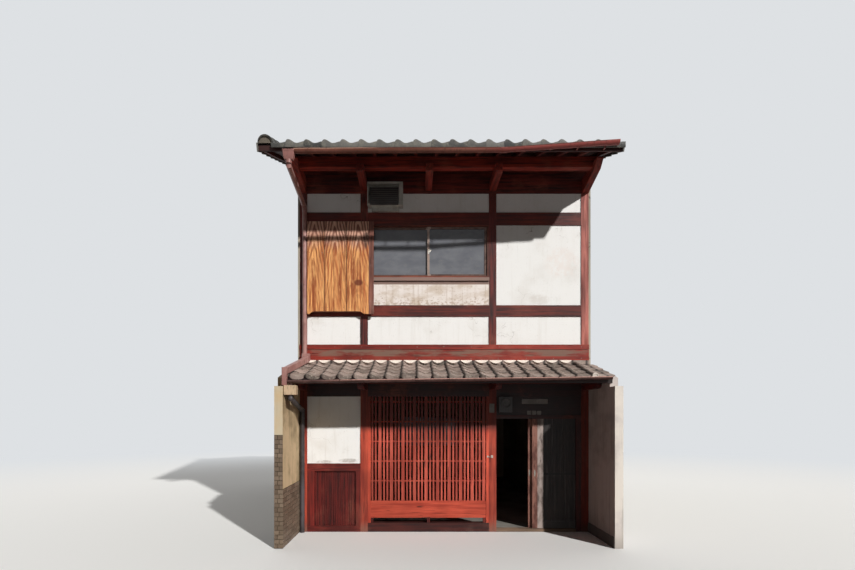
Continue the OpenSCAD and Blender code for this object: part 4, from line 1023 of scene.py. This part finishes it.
def right_wing_foot(material):
    """The cement skirting on the right wing wall's inner side."""
    shape = Shape()
    low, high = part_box("right_wing_wall")
    rings, steps, face = [], 14, low.x - 0.012
    for i in range(steps + 1):
        y = low.y + (high.y - low.y) * i / steps
        top = SKIRTING_TOP + jitter(0.004)
        outline = ((face, 0.0), (face, top - 0.006), (low.x - 0.006, top), (low.x, top), (low.x, 0.0))
        rings.append([(x, y, z) for x, z in outline])
    shape.rings(rings)
    shape.make("wing_skirting", material, "wing_plaster")


def on_face(shape, x, y, z, steps, sides, stretch=(1.0, 1.0)):
    """A round boss on a face towards the street, through circles of (radius, height over the face)."""
    shape.turned(steps, sides, lambda a, b, out: (x + a * stretch[0], y - out, z + b * stretch[1]))


def nail(shape, x, y, z, radius=0.005):
    """A round nail head."""
    steps = ((1.0, -0.0008), (1.0, 0.0008), (0.6, 0.0022), (0.2, 0.0026))
    on_face(shape, x, y, z, [(radius * share, out) for share, out in steps], 10)


def nails():
    """Four pale studs in the white panel, and the nails of the shutter's boards and the skirt boards."""
    studs, heads = Shape(), Shape()
    for i in range(4):
        nail(studs, left_bay[0] + 0.128 + i * 0.219, span("bay_panel", 1)[0], STUD_Z + jitter(0.004), 0.011)
    studs.make("panel_studs", enamel("stud_enamel", (226, 222, 214), (170, 162, 150)), "grey_metal")
    (left, right), (face, _), (low, high) = (span("shutter_boards", axis) for axis in range(3))
    for start, end in zip(SHUTTER_JOINTS, SHUTTER_JOINTS[1:]):
        for z in (low + 0.1, low + 0.52, low + 0.96, high - 0.05):
            for side in (0.14, 0.86):
                x = left + (start + side * (end - start)) * (right - left)
                nail(heads, x + jitter(0.004), face, z + jitter(0.004), 0.0045)
    skirt_y, skirt_top = span("skirt_boards", 1)[0], span("skirt_boards", 2)[1]
    for i in range(11):
        x = -timber_x + 0.12 + i * 0.43
        nail(heads, x + jitter(0.01), skirt_y, skirt_foot + 0.03)
        nail(heads, x + jitter(0.01), skirt_y, skirt_top - 0.036)
    heads.make("nail_heads", dull_metal, "grey_metal")


def window_latch():
    """A crescent latch on the meeting stile of the sashes."""
    shape = Shape()
    x = sum(span("window_sashes", 0)) / 2 + 0.004
    y = span("window_sashes", 1)[0]
    z = sum(span("window_sashes", 2)) / 2
    shape.block((x - 0.012, x + 0.012), (y - 0.005, y + 0.001), (z - 0.035, z + 0.035))
    sweep = circle(0.022, 8, math.radians(-80), math.radians(160))
    shape.tube([(x + a, y - 0.011, z + b) for a, b in sweep], 0.005, 8)
    shape.block((x + 0.002, x + 0.045), (y - 0.016, y - 0.007), (z + 0.014, z + 0.024))
    shape.make("window_latch", bright_metal, "grey_metal")


def lattice_crossings(material):
    """The cross rails where they come forward between the bars, just behind the bars' faces."""
    shape = Shape()
    front = span("lattice_bars", 1)[0] + 0.003
    foot, head = span("lattice_bars", 2)
    first, last, count = head - 0.085, foot + 0.312, 5
    for i in range(count):
        z = first - i * (first - last) / (count - 1)
        shape.block(lattice_x, (front, front + 0.02), (z - 0.009, z + 0.009))
    shape.make("lattice_crossings", material, "red_timber")


def lattice_hasp():
    """A hook and staple that hold the lattice to its post."""
    shape = Shape()
    x, y, z = mid_bay[1], front_y, HASP_Z
    shape.block((x + 0.03, x + 0.062), (y - 0.003, y + 0.001), (z - 0.02, z + 0.02))
    shape.block((x - 0.032, x - 0.01), (y - 0.003, y + 0.001), (z - 0.014, z + 0.014))
    shape.tube([(x - 0.02, y - 0.004, z), (x - 0.018, y - 0.014, z - 0.002), (x + 0.01, y - 0.016, z - 0.006),
                (x + 0.04, y - 0.014, z - 0.002), (x + 0.046, y - 0.005, z + 0.002)], 0.004, 8)
    shape.make("lattice_hasp", bright_metal, "grey_metal")


def bare_plates():
    """Blank plates with rounded corners over the entrance and on the post beside it."""
    shape = Shape()
    board_y = span("transom_board", 1)[0]

    def plate(x, z, y, thick):
        corner, outline = 0.006, []
        for i, (at_x, at_z) in enumerate(((x[1] - corner, z[1] - corner), (x[0] + corner, z[1] - corner),
                                          (x[0] + corner, z[0] + corner), (x[1] - corner, z[0] + corner))):
            arc = circle(corner, 2, math.pi / 2 * i, math.pi / 2)
            outline.extend((at_x + a, at_z + b) for a, b in arc)
        shape.extrude(outline, (y + 0.001, y - thick), lambda a, b, end: (a, end, b))
    plate((1.225, 1.634), (2.015, 2.09), board_y, 0.006)
    for i in range(3):
        plate((1.31 + i * 0.078, 1.374 + i * 0.078), (1.842, 1.905), board_y, 0.004)
    plate((0.712, 0.79), (1.875, 2.018), front_y, 0.004)
    shape.make("bare_plates", enamel("plate_enamel", (134, 126, 120), (92, 83, 77)), "grey_metal")


def door_pulls():
    """A sunk finger pull on the leading stile of each leaf."""
    steps = ((1.0, -0.0006), (1.0, 0.0012), (0.86, 0.0018), (0.7, 0.0002), (0.2, 0.0001))
    sunk = [(0.026 * share, out) for share, out in steps]
    for side, inset in (("front", 0.04), ("rear", 0.022)):
        body = side + "_leaf"
        shape = Shape()
        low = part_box(side + "_door_leaf")[0]
        on_face(shape, low.x + inset, low.y, PULL_Z, sunk, 20, (0.55, 2.1))
        shape.make(body + "_pull", dull_metal, "dark_door", body=body)


def lattice_feet():
    """Short blocks that carry the lattice over its sill."""
    shape = Shape()
    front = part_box("lattice_frame")[0].y
    z = (span("front_sill", 2)[1], 0.22)
    for x in (mid_bay[0] + 0.06, sum(mid_bay) / 2, mid_bay[1] - 0.075):
        shape.block((x - 0.022, x + 0.022), (front + 0.012, front + 0.038), z)
    shape.make("lattice_feet", timber("feet_timber", RED, RED_DEEP, 2), "red_timber")


def meter_cover():
    """The sealed rim round the meter's dial."""
    shape = Shape()
    low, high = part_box("meter_box")
    steps = ((0.074, -0.002), (0.074, 0.004), (0.068, 0.007), (0.06, 0.004), (0.02, 0.005))
    on_face(shape, (low.x + high.x) / 2, low.y, low.z + 0.6 * (high.z - low.z), steps, 28)
    shape.make("meter_rim", dark_metal, "meter_housing")


# Forms that the frame's plain solids lack

def hanging(x, y, z, radius):
    """The lower half of a circle round (y, z), as points at x."""
    turns = [math.pi * (1 + i / 14) for i in range(15)]
    return [(x, y + radius * math.cos(turn), z + radius * math.sin(turn)) for turn in turns]


def shell(shape, path, y, outer, inner):
    """An open half-round channel through (x, z) points of its rim."""
    shape.rings([hanging(x, y, z, outer) + hanging(x, y, z, inner)[::-1] for x, z in path])


def between(path, x):
    """The height of a line of (x, z) points at x."""
    for (x0, z0), (x1, z1) in zip(path, path[1:]):
        if x <= x1:
            break
    return z0 + (z1 - z0) * (x - x0) / (x1 - x0)


def upper_gutter(material):
    """The upper gutter: almost level from its hopper to a bend, and climbing from there, with a rolled
    rim, end caps, a sleeve over the bend, a long collar at the right end and hooks to the fascia."""
    shape, rim = Shape(), Shape()
    radius, wall, hook_w, cap_t, hooks, y = 0.045, 0.003, 0.018, 0.006, 12, GUTTER_Y
    left, right = GUTTER_PATH[0][0], GUTTER_PATH[-1][0]
    shell(shape, GUTTER_PATH, y, radius, radius - wall)
    rim.tube([(x, y - radius + 0.001, z) for x, z in GUTTER_PATH], 0.005, 8)
    # The rim is pale towards the left: painted highlight where the sun catches it, and bleaching.
    faded = rain_goods("upper_rim_plastic_highlight", (196, 150, 132), (222, 184, 162), (128, 84, 70),
                       (0, -1.0, (112, 62, 50)), 0.12)
    rim.make("upper_gutter_rim", faded, "rain_plastic")
    for x0, x1 in SLEEVES_X:
        sleeve = [(x, between(GUTTER_PATH, x)) for x in (x0, (x0 + x1) / 2, x1)]
        shell(shape, sleeve, y, radius + 0.0045, radius - 0.001)
    for x in (left, right - cap_t):
        cap = hanging(x, y, between(GUTTER_PATH, x), radius + 0.002)
        shape.rings([cap, [(a + cap_t, b, c) for a, b, c in cap]])
    fascia_y = span("front_roof_boards", 1)[0]
    top = span("front_roof_boards", 2)[0] + 0.012
    back = y + radius - 0.001
    for i in range(hooks):
        x = left + (i + 0.5) * (right - left) / hooks
        z = between(GUTTER_PATH, x) - 0.0006
        shell(shape, [(x, z), (x + hook_w, z)], y, radius + 0.003, radius - 0.0015)
        shape.block((x, x + hook_w), (back, back + 0.005), (min(z, top) - 0.004, max(z, top)))
        shape.block((x, x + hook_w), (back, fascia_y), (top - 0.006, top))
    shape.make("upper_gutter_channel", material, "rain_plastic", replaces=("upper_gutter",))


def pent_gutter_rim():
    """The rolled rim of the pent gutter, pale past a point along it: painted highlight where the sun catches
    it, and bleaching.
    """
    shape = Shape()
    (left, right), (front, _), (_, top) = (span("pent_gutter", axis) for axis in range(3))
    fall, radius = 0.055, 0.005
    y = front + radius
    shape.tube([(left + 0.002, y, top - fall - 0.001), (right - 0.002, y, top - 0.001)], radius, 8)
    # Pale to the right: painted highlight, and bleaching.
    faded = rain_goods("pent_rim_plastic_highlight", (104, 74, 70), (128, 96, 90), (60, 44, 40),
                       (0, -1.6, (214, 164, 150)), 0.25)
    shape.make("pent_gutter_rim", faded, "rain_plastic")


def ventilator_louvres():
    """A dark plate on the ventilator's front, painted shade that stands for the depth of its grille, with
    thin sloping slats across it.
    """
    dark, slats = Shape(), Shape()
    front = span("ventilator", 1)[0]
    (left, right), (low, high) = VENTILATOR_X, VENTILATOR_Z
    rings, proud = [], 0.002
    for depth, inset in ((0.001, 0.0), (-proud / 2, 0.0), (-proud, proud)):
        x0, x1, y = left + inset, right - inset, front + depth
        z0, z1 = low + inset, high - inset
        rings.append([(x0, y, z0), (x1, y, z0), (x1, y, z1), (x0, y, z1)])
    dark.rings(rings)
    for i in range(9):
        z = low + 0.014 + i * (high - low - 0.028) / 8
        section = [(front - 0.0015, z + 0.007), (front - 0.0045, z - 0.006), (front - 0.006, z - 0.0045),
                   (front - 0.003, z + 0.0085)]
        slats.extrude(section, (left + 0.006, right - 0.006))
    # Painted shade: a near-black plate for the shaded depth of the grille.
    dark.make("ventilator_painted_shade", enamel("painted_shade_enamel", (34, 31, 30), (22, 19, 18)), "grey_metal")
    slats.make("ventilator_slats", enamel("slat_enamel", (96, 92, 88), (60, 54, 50)), "grey_metal")


def rounded(x, z, edge):
    """A rectangle with bevelled corners, as points."""
    return [(x[0] + edge, z[0]), (x[1] - edge, z[0]), (x[1], z[0] + edge), (x[1], z[1] - edge),
            (x[1] - edge, z[1]), (x[0] + edge, z[1]), (x[0], z[1] - edge), (x[0], z[0] + edge)]


def boxed(shape, x, y, z, edge, foot=0.0):
    """A box with bevelled upright edges, whose lower end is narrower by foot on each side."""
    rings = []
    for height, inset in ((z[0], foot), (z[0] + 0.35 * (z[1] - z[0]), foot * 0.2), (z[1], 0.0)):
        outline = rounded((x[0] + inset, x[1] - inset), (y[0] + inset, y[1] - inset), edge)
        rings.append([(a, b, height) for a, b in outline])
    shape.rings(rings)


def upper_pipe(material):
    """Down from the upper hopper: an offset under the eave, a pipe along the corner post with
    sockets and clips, and a box pipe that slants over the pent tiles to the lower hopper."""
    shape = Shape()
    radius, pipe_y = 0.036, front_y - 0.068
    boxed(shape, HOPPER_X, (GUTTER_Y - 0.048, GUTTER_Y + 0.048), HOPPER_Z, 0.008, 0.018)
    boxed(shape, (HOPPER_X[0] - 0.004, HOPPER_X[1] + 0.003), (GUTTER_Y - 0.0515, GUTTER_Y + 0.0515),
          (HOPPER_Z[1] - 0.016, HOPPER_Z[1] + 0.0003), 0.008)
    neck = (sum(HOPPER_X) / 2, GUTTER_Y, HOPPER_Z[0] + 0.002)
    bend = (neck[0], neck[1], neck[2] - 0.075)
    turn = (PIPE_X, pipe_y, neck[2] - 0.135)
    shoe_z = pent_top_z + 0.056
    foot = (PIPE_X, pipe_y, shoe_z + 0.06)
    shape.tube([neck, bend, turn, foot], radius, 20)
    sockets = ((neck, bend, 0.004, 0.05), (turn, foot, 0.004, 0.07), (turn, bend, 0.004, 0.06),
               ((PIPE_X, pipe_y, PIPE_SOCKET_Z), foot, 0.0035, 0.06))
    for start, end, over, length in sockets:
        ahead = (Vector(end) - Vector(start)).normalized()
        shape.tube([start, Vector(start) + ahead * length], radius + over, 20)
    clip_h = 0.016
    for z in (neck[2] - 0.32, *PIPE_CLIPS_Z):
        shape.tube([(PIPE_X, pipe_y, z), (PIPE_X, pipe_y, z + clip_h)], radius + 0.003, 20)
        shape.block((PIPE_X - 0.008, PIPE_X + 0.008), (pipe_y + radius - 0.004, front_y), (z, z + clip_h))
    width, height, slant, lean = 0.066, 0.092, 0.132, 0.0525
    left, shoe_r = PIPE_X + 0.014, radius + 0.005
    boxed(shape, (PIPE_X - shoe_r, left + width), (pipe_y - shoe_r, pipe_y + shoe_r),
          (shoe_z, shoe_z + 0.11), 0.006)
    gutter_y = sum(span("pent_gutter", 1)) / 2 - 0.014
    run = (front_y - gutter_y) / math.cos(pent_angle)
    rings = []
    for down in (0.05, run):
        x = left - slant * down / run
        outline = rounded((x, x + width), (lean, lean + height), 0.005)
        rings.append([pent_slope(a, down, b) for a, b in outline])
    shape.rings(rings)
    boxed(shape, (left - slant, left - slant + width), (gutter_y - 0.046, gutter_y + 0.026),
          (span("lower_downpipe", 2)[1] + 0.001, 2.489), 0.005)
    shape.make("upper_rain_pipe", material, "rain_plastic", replaces=("upper_downpipe",))


def eave_arms(material):
    """Straight arms under the eave purlin, and corner brackets that rise outwards past its ends."""
    shape = Shape()
    foot, top, corner_top, half, edge = plate_z + 0.0407, plate_z + 0.1707, plate_z + 0.245, 0.0525, 0.006
    end = span("eave_brackets", 1)[0]

    def arm(x, profile, raised, highest):
        """A profile of (y, z) points with bevelled edges, about x. raised(z, inset) lifts its foot."""
        rings = []
        for at, inset in ((x - half, edge), (x - half + edge, 0.0), (x + half - edge, 0.0), (x + half, edge)):
            rings.append([(at, min(y + inset, front_y), min(raised(z, inset), highest)) for y, z in profile])
        shape.rings(rings)
    straight = [(front_y, foot), (end + 0.02, foot), (end, foot + 0.02), (end, top), (front_y, top)]
    for x in ARM_X:
        arm(x, straight, lambda z, inset: max(z, foot + inset), top)
    rising = [(front_y, plate_z), (front_y - 0.525, plate_z + 0.128), (front_y - 0.647, plate_z + 0.23),
              (front_y - 0.647, corner_top), (front_y, corner_top)]
    for x in (-timber_x + half, timber_x - half):
        arm(x, rising, lambda z, inset: z + inset, corner_top)
    shape.make("eave_arms", material, "red_timber", replaces=("eave_brackets",))


def eave_beam(material):
    """The broad purlin that the arms carry, cut to the rafters' slope along its top."""
    shape = Shape()
    nose, old_back = span("eave_purlin", 1)
    back, foot, edge = nose + 0.13, plate_z + 0.171, 0.006

    def under(y):
        return span("eave_purlin", 2)[1] + (y - old_back) * UPPER_ROOF_SLOPE
    outline = [(nose + edge, foot), (back - edge, foot), (back, foot + edge), (back, under(back)),
               (nose, under(nose)), (nose, foot + edge)]
    shape.extrude(outline, span("eave_purlin", 0))
    shape.make("eave_beam", material, "red_timber", replaces=("eave_purlin",))


def shutter_panels(material):
    """Three upright boards of uneven width, with one flat arch cut in their feet."""
    shape = Shape()
    (left, right), (front, back), (low, high) = (span("shutter_boards", axis) for axis in range(3))
    left_foot, right_foot, shoulder, arch = left + 0.034, right - 0.08, 0.085, 0.042
    half_gap, edge = 0.0012, 0.0018

    def foot(x):
        share = min(max(min(x - left_foot, right_foot - x) / shoulder, 0.0), 1.0)
        return low + arch * (1 - (1 - share) ** 2)
    for start, end in zip(SHUTTER_JOINTS, SHUTTER_JOINTS[1:]):
        x0, x1 = left + start * (right - left) + half_gap, left + end * (right - left) - half_gap
        rings = []
        for y, inset in ((back, 0.0), (front + edge, 0.0), (front, edge)):
            across = [x0 + inset + (x1 - x0 - 2 * inset) * i / 16 for i in range(17)]
            ring = [(x, y, foot(x) + inset) for x in across]
            rings.append(ring + [(across[-1], y, high - inset), (across[0], y, high - inset)])
        shape.rings(rings)
    shape.make("shutter_panels", material, "cedar_boards", replaces=("shutter_boards",))


# The materials of the frame's own nodes

lime_mortar = plaster("lime_mortar", (244, 232, 220), (196, 178, 162), 0.2)
old_mortar = plaster("old_mortar", (122, 113, 101), (56, 51, 46), 0.6)
dull_metal = metal("dull_metal", (150, 144, 136), (108, 96, 86), 0.45, 0.7)
dark_metal = metal("dark_metal", (74, 70, 68), (48, 44, 42), 0.55, 0.3)
bright_metal = metal("bright_metal", (216, 210, 200), (170, 160, 146), 0.32, 0.8)
roof_tile = clay_tile("roof_tile", (58, 58, 57), (118, 116, 111), (156, 152, 138), 0.4, 0.46)
pent_tile = clay_tile("pent_tile", (84, 74, 66), (176, 156, 146), (204, 192, 178), 0.85, 0.62, 0.35,
                      (pent_first_x, PENT_PITCH))
eave_timber = timber("eave_timber", (92, 27, 21), RED_DIM)
eave_run = timber("eave_run", (88, 26, 20), RED_DIM, 1)
roof_planks = planks("roof_planks", (62, 24, 19), (34, 13, 11), 0.15, 0, 0.4)
party_coat = coat()
panel_marks = ((1.86, 4.24, 0.34, 0.3, 0.22, (232, 206, 192)), (1.5, 3.66, 0.2, 0.1, 0.3, (190, 178, 164)))
bay_marks = ((-1.9, 1.10, 0.16, 0.035, 0.5, (156, 146, 134)), (-1.5, 1.12, 0.2, 0.04, 0.55, (146, 134, 122)),
             (-1.3, 1.3, 0.06, 0.4, 0.25, (200, 190, 170)))

paints = {
    "ground_floor": concrete(),
    "front_sill": timber("sill_timber", (76, 30, 24), (42, 16, 13), 0, (116, 88, 78), 0.45),
    "front_posts": post_timber(),
    "lintel_beam": timber("lintel_timber", (42, 13, 10), (22, 7, 6)),
    "floor_girder": timber("beam_timber", RED, RED_DEEP),
    "wall_rails": timber("rail_timber", (100, 36, 26), (54, 18, 14), 0, (142, 78, 62)),
    "skirt_boards": skirt_timber(),
    "plaster_panels": plaster("panel_plaster", marks=panel_marks),
    "left_party_wall": party_coat,
    "right_party_wall": party_coat,
    "rear_wall": plaster("rear_plaster", (226, 221, 208), (176, 168, 150), 0.45),
    "rear_timbers": framed_timber("rear_timber", (104, 40, 31), (66, 26, 21), 2, *REAR_TIMBERS_Z),
    "rear_window_frames": timber("rear_frame_timber", (104, 60, 44), (66, 36, 28), 2, GREY_WOOD),
    "rear_window_glass": pane("rear_pane", 1.0),
    "window_glass": pane("pane", 0.9),
    "upper_floor": planks("floor_planks", (164, 118, 76), (122, 82, 50), 0.12),
    "floor_joists": timber("joist_timber", (112, 72, 48), (74, 46, 32), 0, None),
    "roof_beams": timber("roof_beam_timber", (104, 36, 28), RED_DIM),
    "window_frame": framed_timber("window_frame_timber", (120, 62, 46), (72, 38, 30), 2, *WINDOW_OPENING_Z,
                                  grey_below=4.0),
    "window_sashes": sash_metal(),
    "shutter_box": timber("box_timber", (138, 88, 74), (98, 58, 48), 2, (178, 142, 130), 0.5),
    "shutter_boards": cedar(),
    "apron_board": old_white_paint(),
    "ventilator": enamel("ventilator_enamel", (192, 190, 182), (128, 118, 106)),
    # The arms and purlin are a lighter red than the rafters: painted light for the glow they catch in the
    # eave's shade.
    "eave_brackets": timber("arm_timber_painted_light", (138, 48, 36), (80, 26, 20), 1),
    "eave_purlin": timber("purlin_timber_painted_light", (156, 52, 36), (84, 26, 19)),
    "front_rafters": eave_run,
    "rear_rafters": eave_run,
    "front_roof_boards": roof_planks,
    "rear_roof_boards": roof_planks,
    "upper_gutter": rain_goods("upper_gutter_plastic", (104, 60, 46), (134, 82, 68), (62, 42, 34),
                               (0, 0.62, (150, 72, 66)), 0.5),
    "upper_downpipe": rain_goods("upper_pipe_plastic", (150, 104, 98), (174, 132, 124), (98, 74, 70)),
    "pent_rafters": eave_run,
    "pent_purlin": eave_timber,
    "pent_arms": eave_run,
    # The pent boards are near-black: painted shade where their front edge shows under the tile lobes.
    "pent_boards": planks("pent_planks_painted_shade", (40, 16, 13), (22, 9, 8), 0.15, 0, 0.4),
    "pent_gutter": rain_goods("pent_gutter_plastic", (66, 42, 38), (104, 74, 68), (44, 34, 31)),
    "lower_downpipe": rain_goods("lower_pipe_plastic", (56, 50, 50), (84, 78, 80), (36, 31, 30),
                                 (2, 2.105, (206, 178, 146))),
    "left_wing_wall": wing_render("cream_render", (208, 182, 144), (150, 130, 98), (96, 84, 62),
                                  (206, 190, 162), (70, 58, 46)),
    "right_wing_wall": wing_render("grey_render", (206, 196, 190), (178, 168, 162), (136, 126, 120),
                                   (236, 227, 216)),
    "bay_panel": plaster("bay_plaster", streaks=0.45, marks=bay_marks),
    # The dado's frame and boards are a darker red: their paint, and painted shade of a cast shadow.
    "dado_frame": framed_timber("dado_frame_timber_painted_shade", (116, 34, 27), (72, 21, 16), 2, *DADO_OPENING_Z),
    "dado_boards": timber("dado_timber_painted_shade", (104, 30, 25), (62, 17, 14), 2),
    # The lattice's frame and bars carry painted shade of the pent roof over the shade height.
    "lattice_frame": framed_timber("lattice_frame_timber", (212, 88, 64), (172, 62, 44), 0, *lattice_x, 2, 0,
                                   PENT_SHADE_Z),
    "lattice_bars": framed_timber("lattice_timber", (206, 94, 76), (156, 60, 46), 1, front_y + 0.037, 0.0,
                                  2, 0, PENT_SHADE_Z),
    "door_frame": framed_timber("door_frame_timber", (58, 18, 15), (32, 10, 8), 2, -1.0, DOOR_HEAD_Z),
    "transom_board": timber("transom_timber", (32, 12, 10), (18, 7, 6), 0, (84, 42, 34)),
    "threshold": timber("threshold_timber", (120, 98, 80), (86, 68, 56), 0, GREY_WOOD, 0.5),
    "meter_box": enamel("meter_enamel", (70, 67, 66), (46, 42, 41)),
    "front_door_leaf": door_wood("front_leaf_wood", 1.472, 1.566),
    "rear_door_leaf": door_wood("rear_leaf_wood", 1.414, 1.414),
}

for name, material in paints.items():
    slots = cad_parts[name].data.materials
    slots.clear()
    slots.append(material)

roof_field("front_roof_tiles", front_side, roof_tile)
roof_field("rear_roof_tiles", rear_side, roof_tile)
pent_field(pent_tile)
verge(roof_tile)
ridge(roof_tile)
upper_gutter(paints["upper_gutter"])
upper_pipe(paints["upper_downpipe"])
pent_gutter_rim()
ventilator_louvres()
eave_arms(paints["eave_brackets"])
eave_beam(paints["eave_purlin"])
shutter_panels(paints["shutter_boards"])
mortar_crescents()
pent_head_tiles(pent_tile)
wing_slips()
right_wing_foot(wing_render("skirting_cement", (112, 104, 100), (86, 80, 76), (70, 64, 62)))
nails()
window_latch()
lattice_crossings(timber("crossing_timber", (190, 78, 58), (140, 50, 38)))
lattice_hasp()
bare_plates()
door_pulls()
lattice_feet()
meter_cover()


# Camera, floor and light

CAMERA_X = -0.476
CAMERA_HEIGHT = 1.76
CAMERA_BACK = 8.0
FOCAL_PIXELS = 508
FRAME_WIDTH = 855
SHIFT_RIGHT, SHIFT_UP = 13.5, 135
SENSOR_WIDTH = 36
BACKDROP = srgb(222, 225, 228)
FILL_FRONT, FILL_BEHIND = 0.035, 0.75
SUN_AZIMUTH, SUN_ELEVATION = math.radians(34), math.radians(28.5)
SUN_STRENGTH, SUN_WIDTH = 3.6, math.radians(1.6)
FLOOR_HALF, FLOOR_Z = 60, -0.002
# Linear colours
FILL_COLOUR = (0.98, 0.97, 0.96, 1.0)
SUN_COLOUR = (1.0, 0.985, 0.965)


def camera():
    """The photograph's view: square to the front, with the lens shifted up."""
    data = bpy.data.cameras.new("camera")
    data.sensor_width = SENSOR_WIDTH
    data.lens = SENSOR_WIDTH * FOCAL_PIXELS / FRAME_WIDTH
    data.shift_x = SHIFT_RIGHT / FRAME_WIDTH
    data.shift_y = SHIFT_UP / FRAME_WIDTH
    data.clip_end = 200
    eye = bpy.data.objects.new("camera", data)
    eye.location = (CAMERA_X, front_y - CAMERA_BACK, CAMERA_HEIGHT)
    eye.rotation_euler = (math.radians(90), 0, 0)
    bpy.context.scene.collection.objects.link(eye)
    bpy.context.scene.camera = eye


def seen(tree):
    """1 where the camera, a mirror or glass looks, and 0 for the light that falls on the object."""
    path = tree.nodes.new("ShaderNodeLightPath")
    total = path.outputs["Is Camera Ray"]
    for name in ("Is Glossy Ray", "Is Transmission Ray"):
        most = tree.nodes.new("ShaderNodeMath")
        most.operation = "MAXIMUM"
        tree.links.new(total, most.inputs[0])
        tree.links.new(path.outputs[name], most.inputs[1])
        total = most.outputs[0]
    return total


def blend(tree, amount, below, above, output):
    """Sends a mix of two shaders to an output."""
    mix = tree.nodes.new("ShaderNodeMixShader")
    for socket, value in zip(mix.inputs, (amount, below, above)):
        tree.links.new(value, socket)
    tree.links.new(mix.outputs[0], output.inputs[0])


def studio():
    """A pale backdrop, a key lamp from the upper right, and a soft fill that is weak from the street
    side, so that the eaves shade the front, and stronger from behind."""
    world = bpy.data.worlds.new("studio")
    world.use_nodes = True
    tree = world.node_tree
    tree.nodes.clear()
    fill = tree.nodes.new("ShaderNodeBackground")
    fill.inputs[0].default_value = FILL_COLOUR
    direction = tree.nodes.new("ShaderNodeSeparateXYZ")
    tree.links.new(tree.nodes.new("ShaderNodeTexCoord").outputs["Generated"], direction.inputs[0])
    turn = tree.nodes.new("ShaderNodeMapRange")
    turn.interpolation_type = "SMOOTHSTEP"
    for socket, value in zip(turn.inputs[1:5], (-0.25, 0.5, FILL_FRONT, FILL_BEHIND)):
        socket.default_value = value
    tree.links.new(direction.outputs["Y"], turn.inputs[0])
    tree.links.new(turn.outputs[0], fill.inputs[1])
    backdrop = tree.nodes.new("ShaderNodeBackground")
    backdrop.inputs[0].default_value = BACKDROP
    output = tree.nodes.new("ShaderNodeOutputWorld")
    blend(tree, seen(tree), fill.outputs[0], backdrop.outputs[0], output)
    bpy.context.scene.world = world
    key = bpy.data.lights.new("key", "SUN")
    key.energy = SUN_STRENGTH
    key.angle = SUN_WIDTH
    key.color = SUN_COLOUR
    lamp = bpy.data.objects.new("key", key)
    level = math.cos(SUN_ELEVATION)
    towards = Vector((math.sin(SUN_AZIMUTH) * level, -math.cos(SUN_AZIMUTH) * level, math.sin(SUN_ELEVATION)))
    lamp.rotation_mode = "QUATERNION"
    lamp.rotation_quaternion = towards.to_track_quat("Z", "Y")
    bpy.context.scene.collection.objects.link(lamp)


def floor():
    """A pale floor that turns into the backdrop's colour with distance."""
    mesh = bpy.data.meshes.new("floor")
    corners = ((-1, -1), (1, -1), (1, 1), (-1, 1))
    mesh.from_pydata([(a * FLOOR_HALF, b * FLOOR_HALF, FLOOR_Z) for a, b in corners], [], [(0, 1, 2, 3)])
    piece = bpy.data.objects.new("floor", mesh)
    bpy.context.scene.collection.objects.link(piece)
    paint = Paint("floor", 0.9)
    eyes = Value(paint, seen(paint.tree))
    paint.put(paint.shader.inputs["Base Color"], paint.mix(eyes, (112, 110, 108), (244, 244, 242)))
    glow = paint.made("ShaderNodeEmission", {0: BACKDROP})
    far = paint.math("SQRT", paint.x * paint.x + paint.y * paint.y).fade(9.0, 24.0)
    blend(paint.tree, (far * eyes).socket, paint.shader.outputs[0], glow.socket, paint.output)
    mesh.materials.append(paint.material)


camera()
studio()
floor()
bpy.context.scene.view_settings.view_transform = "Standard"
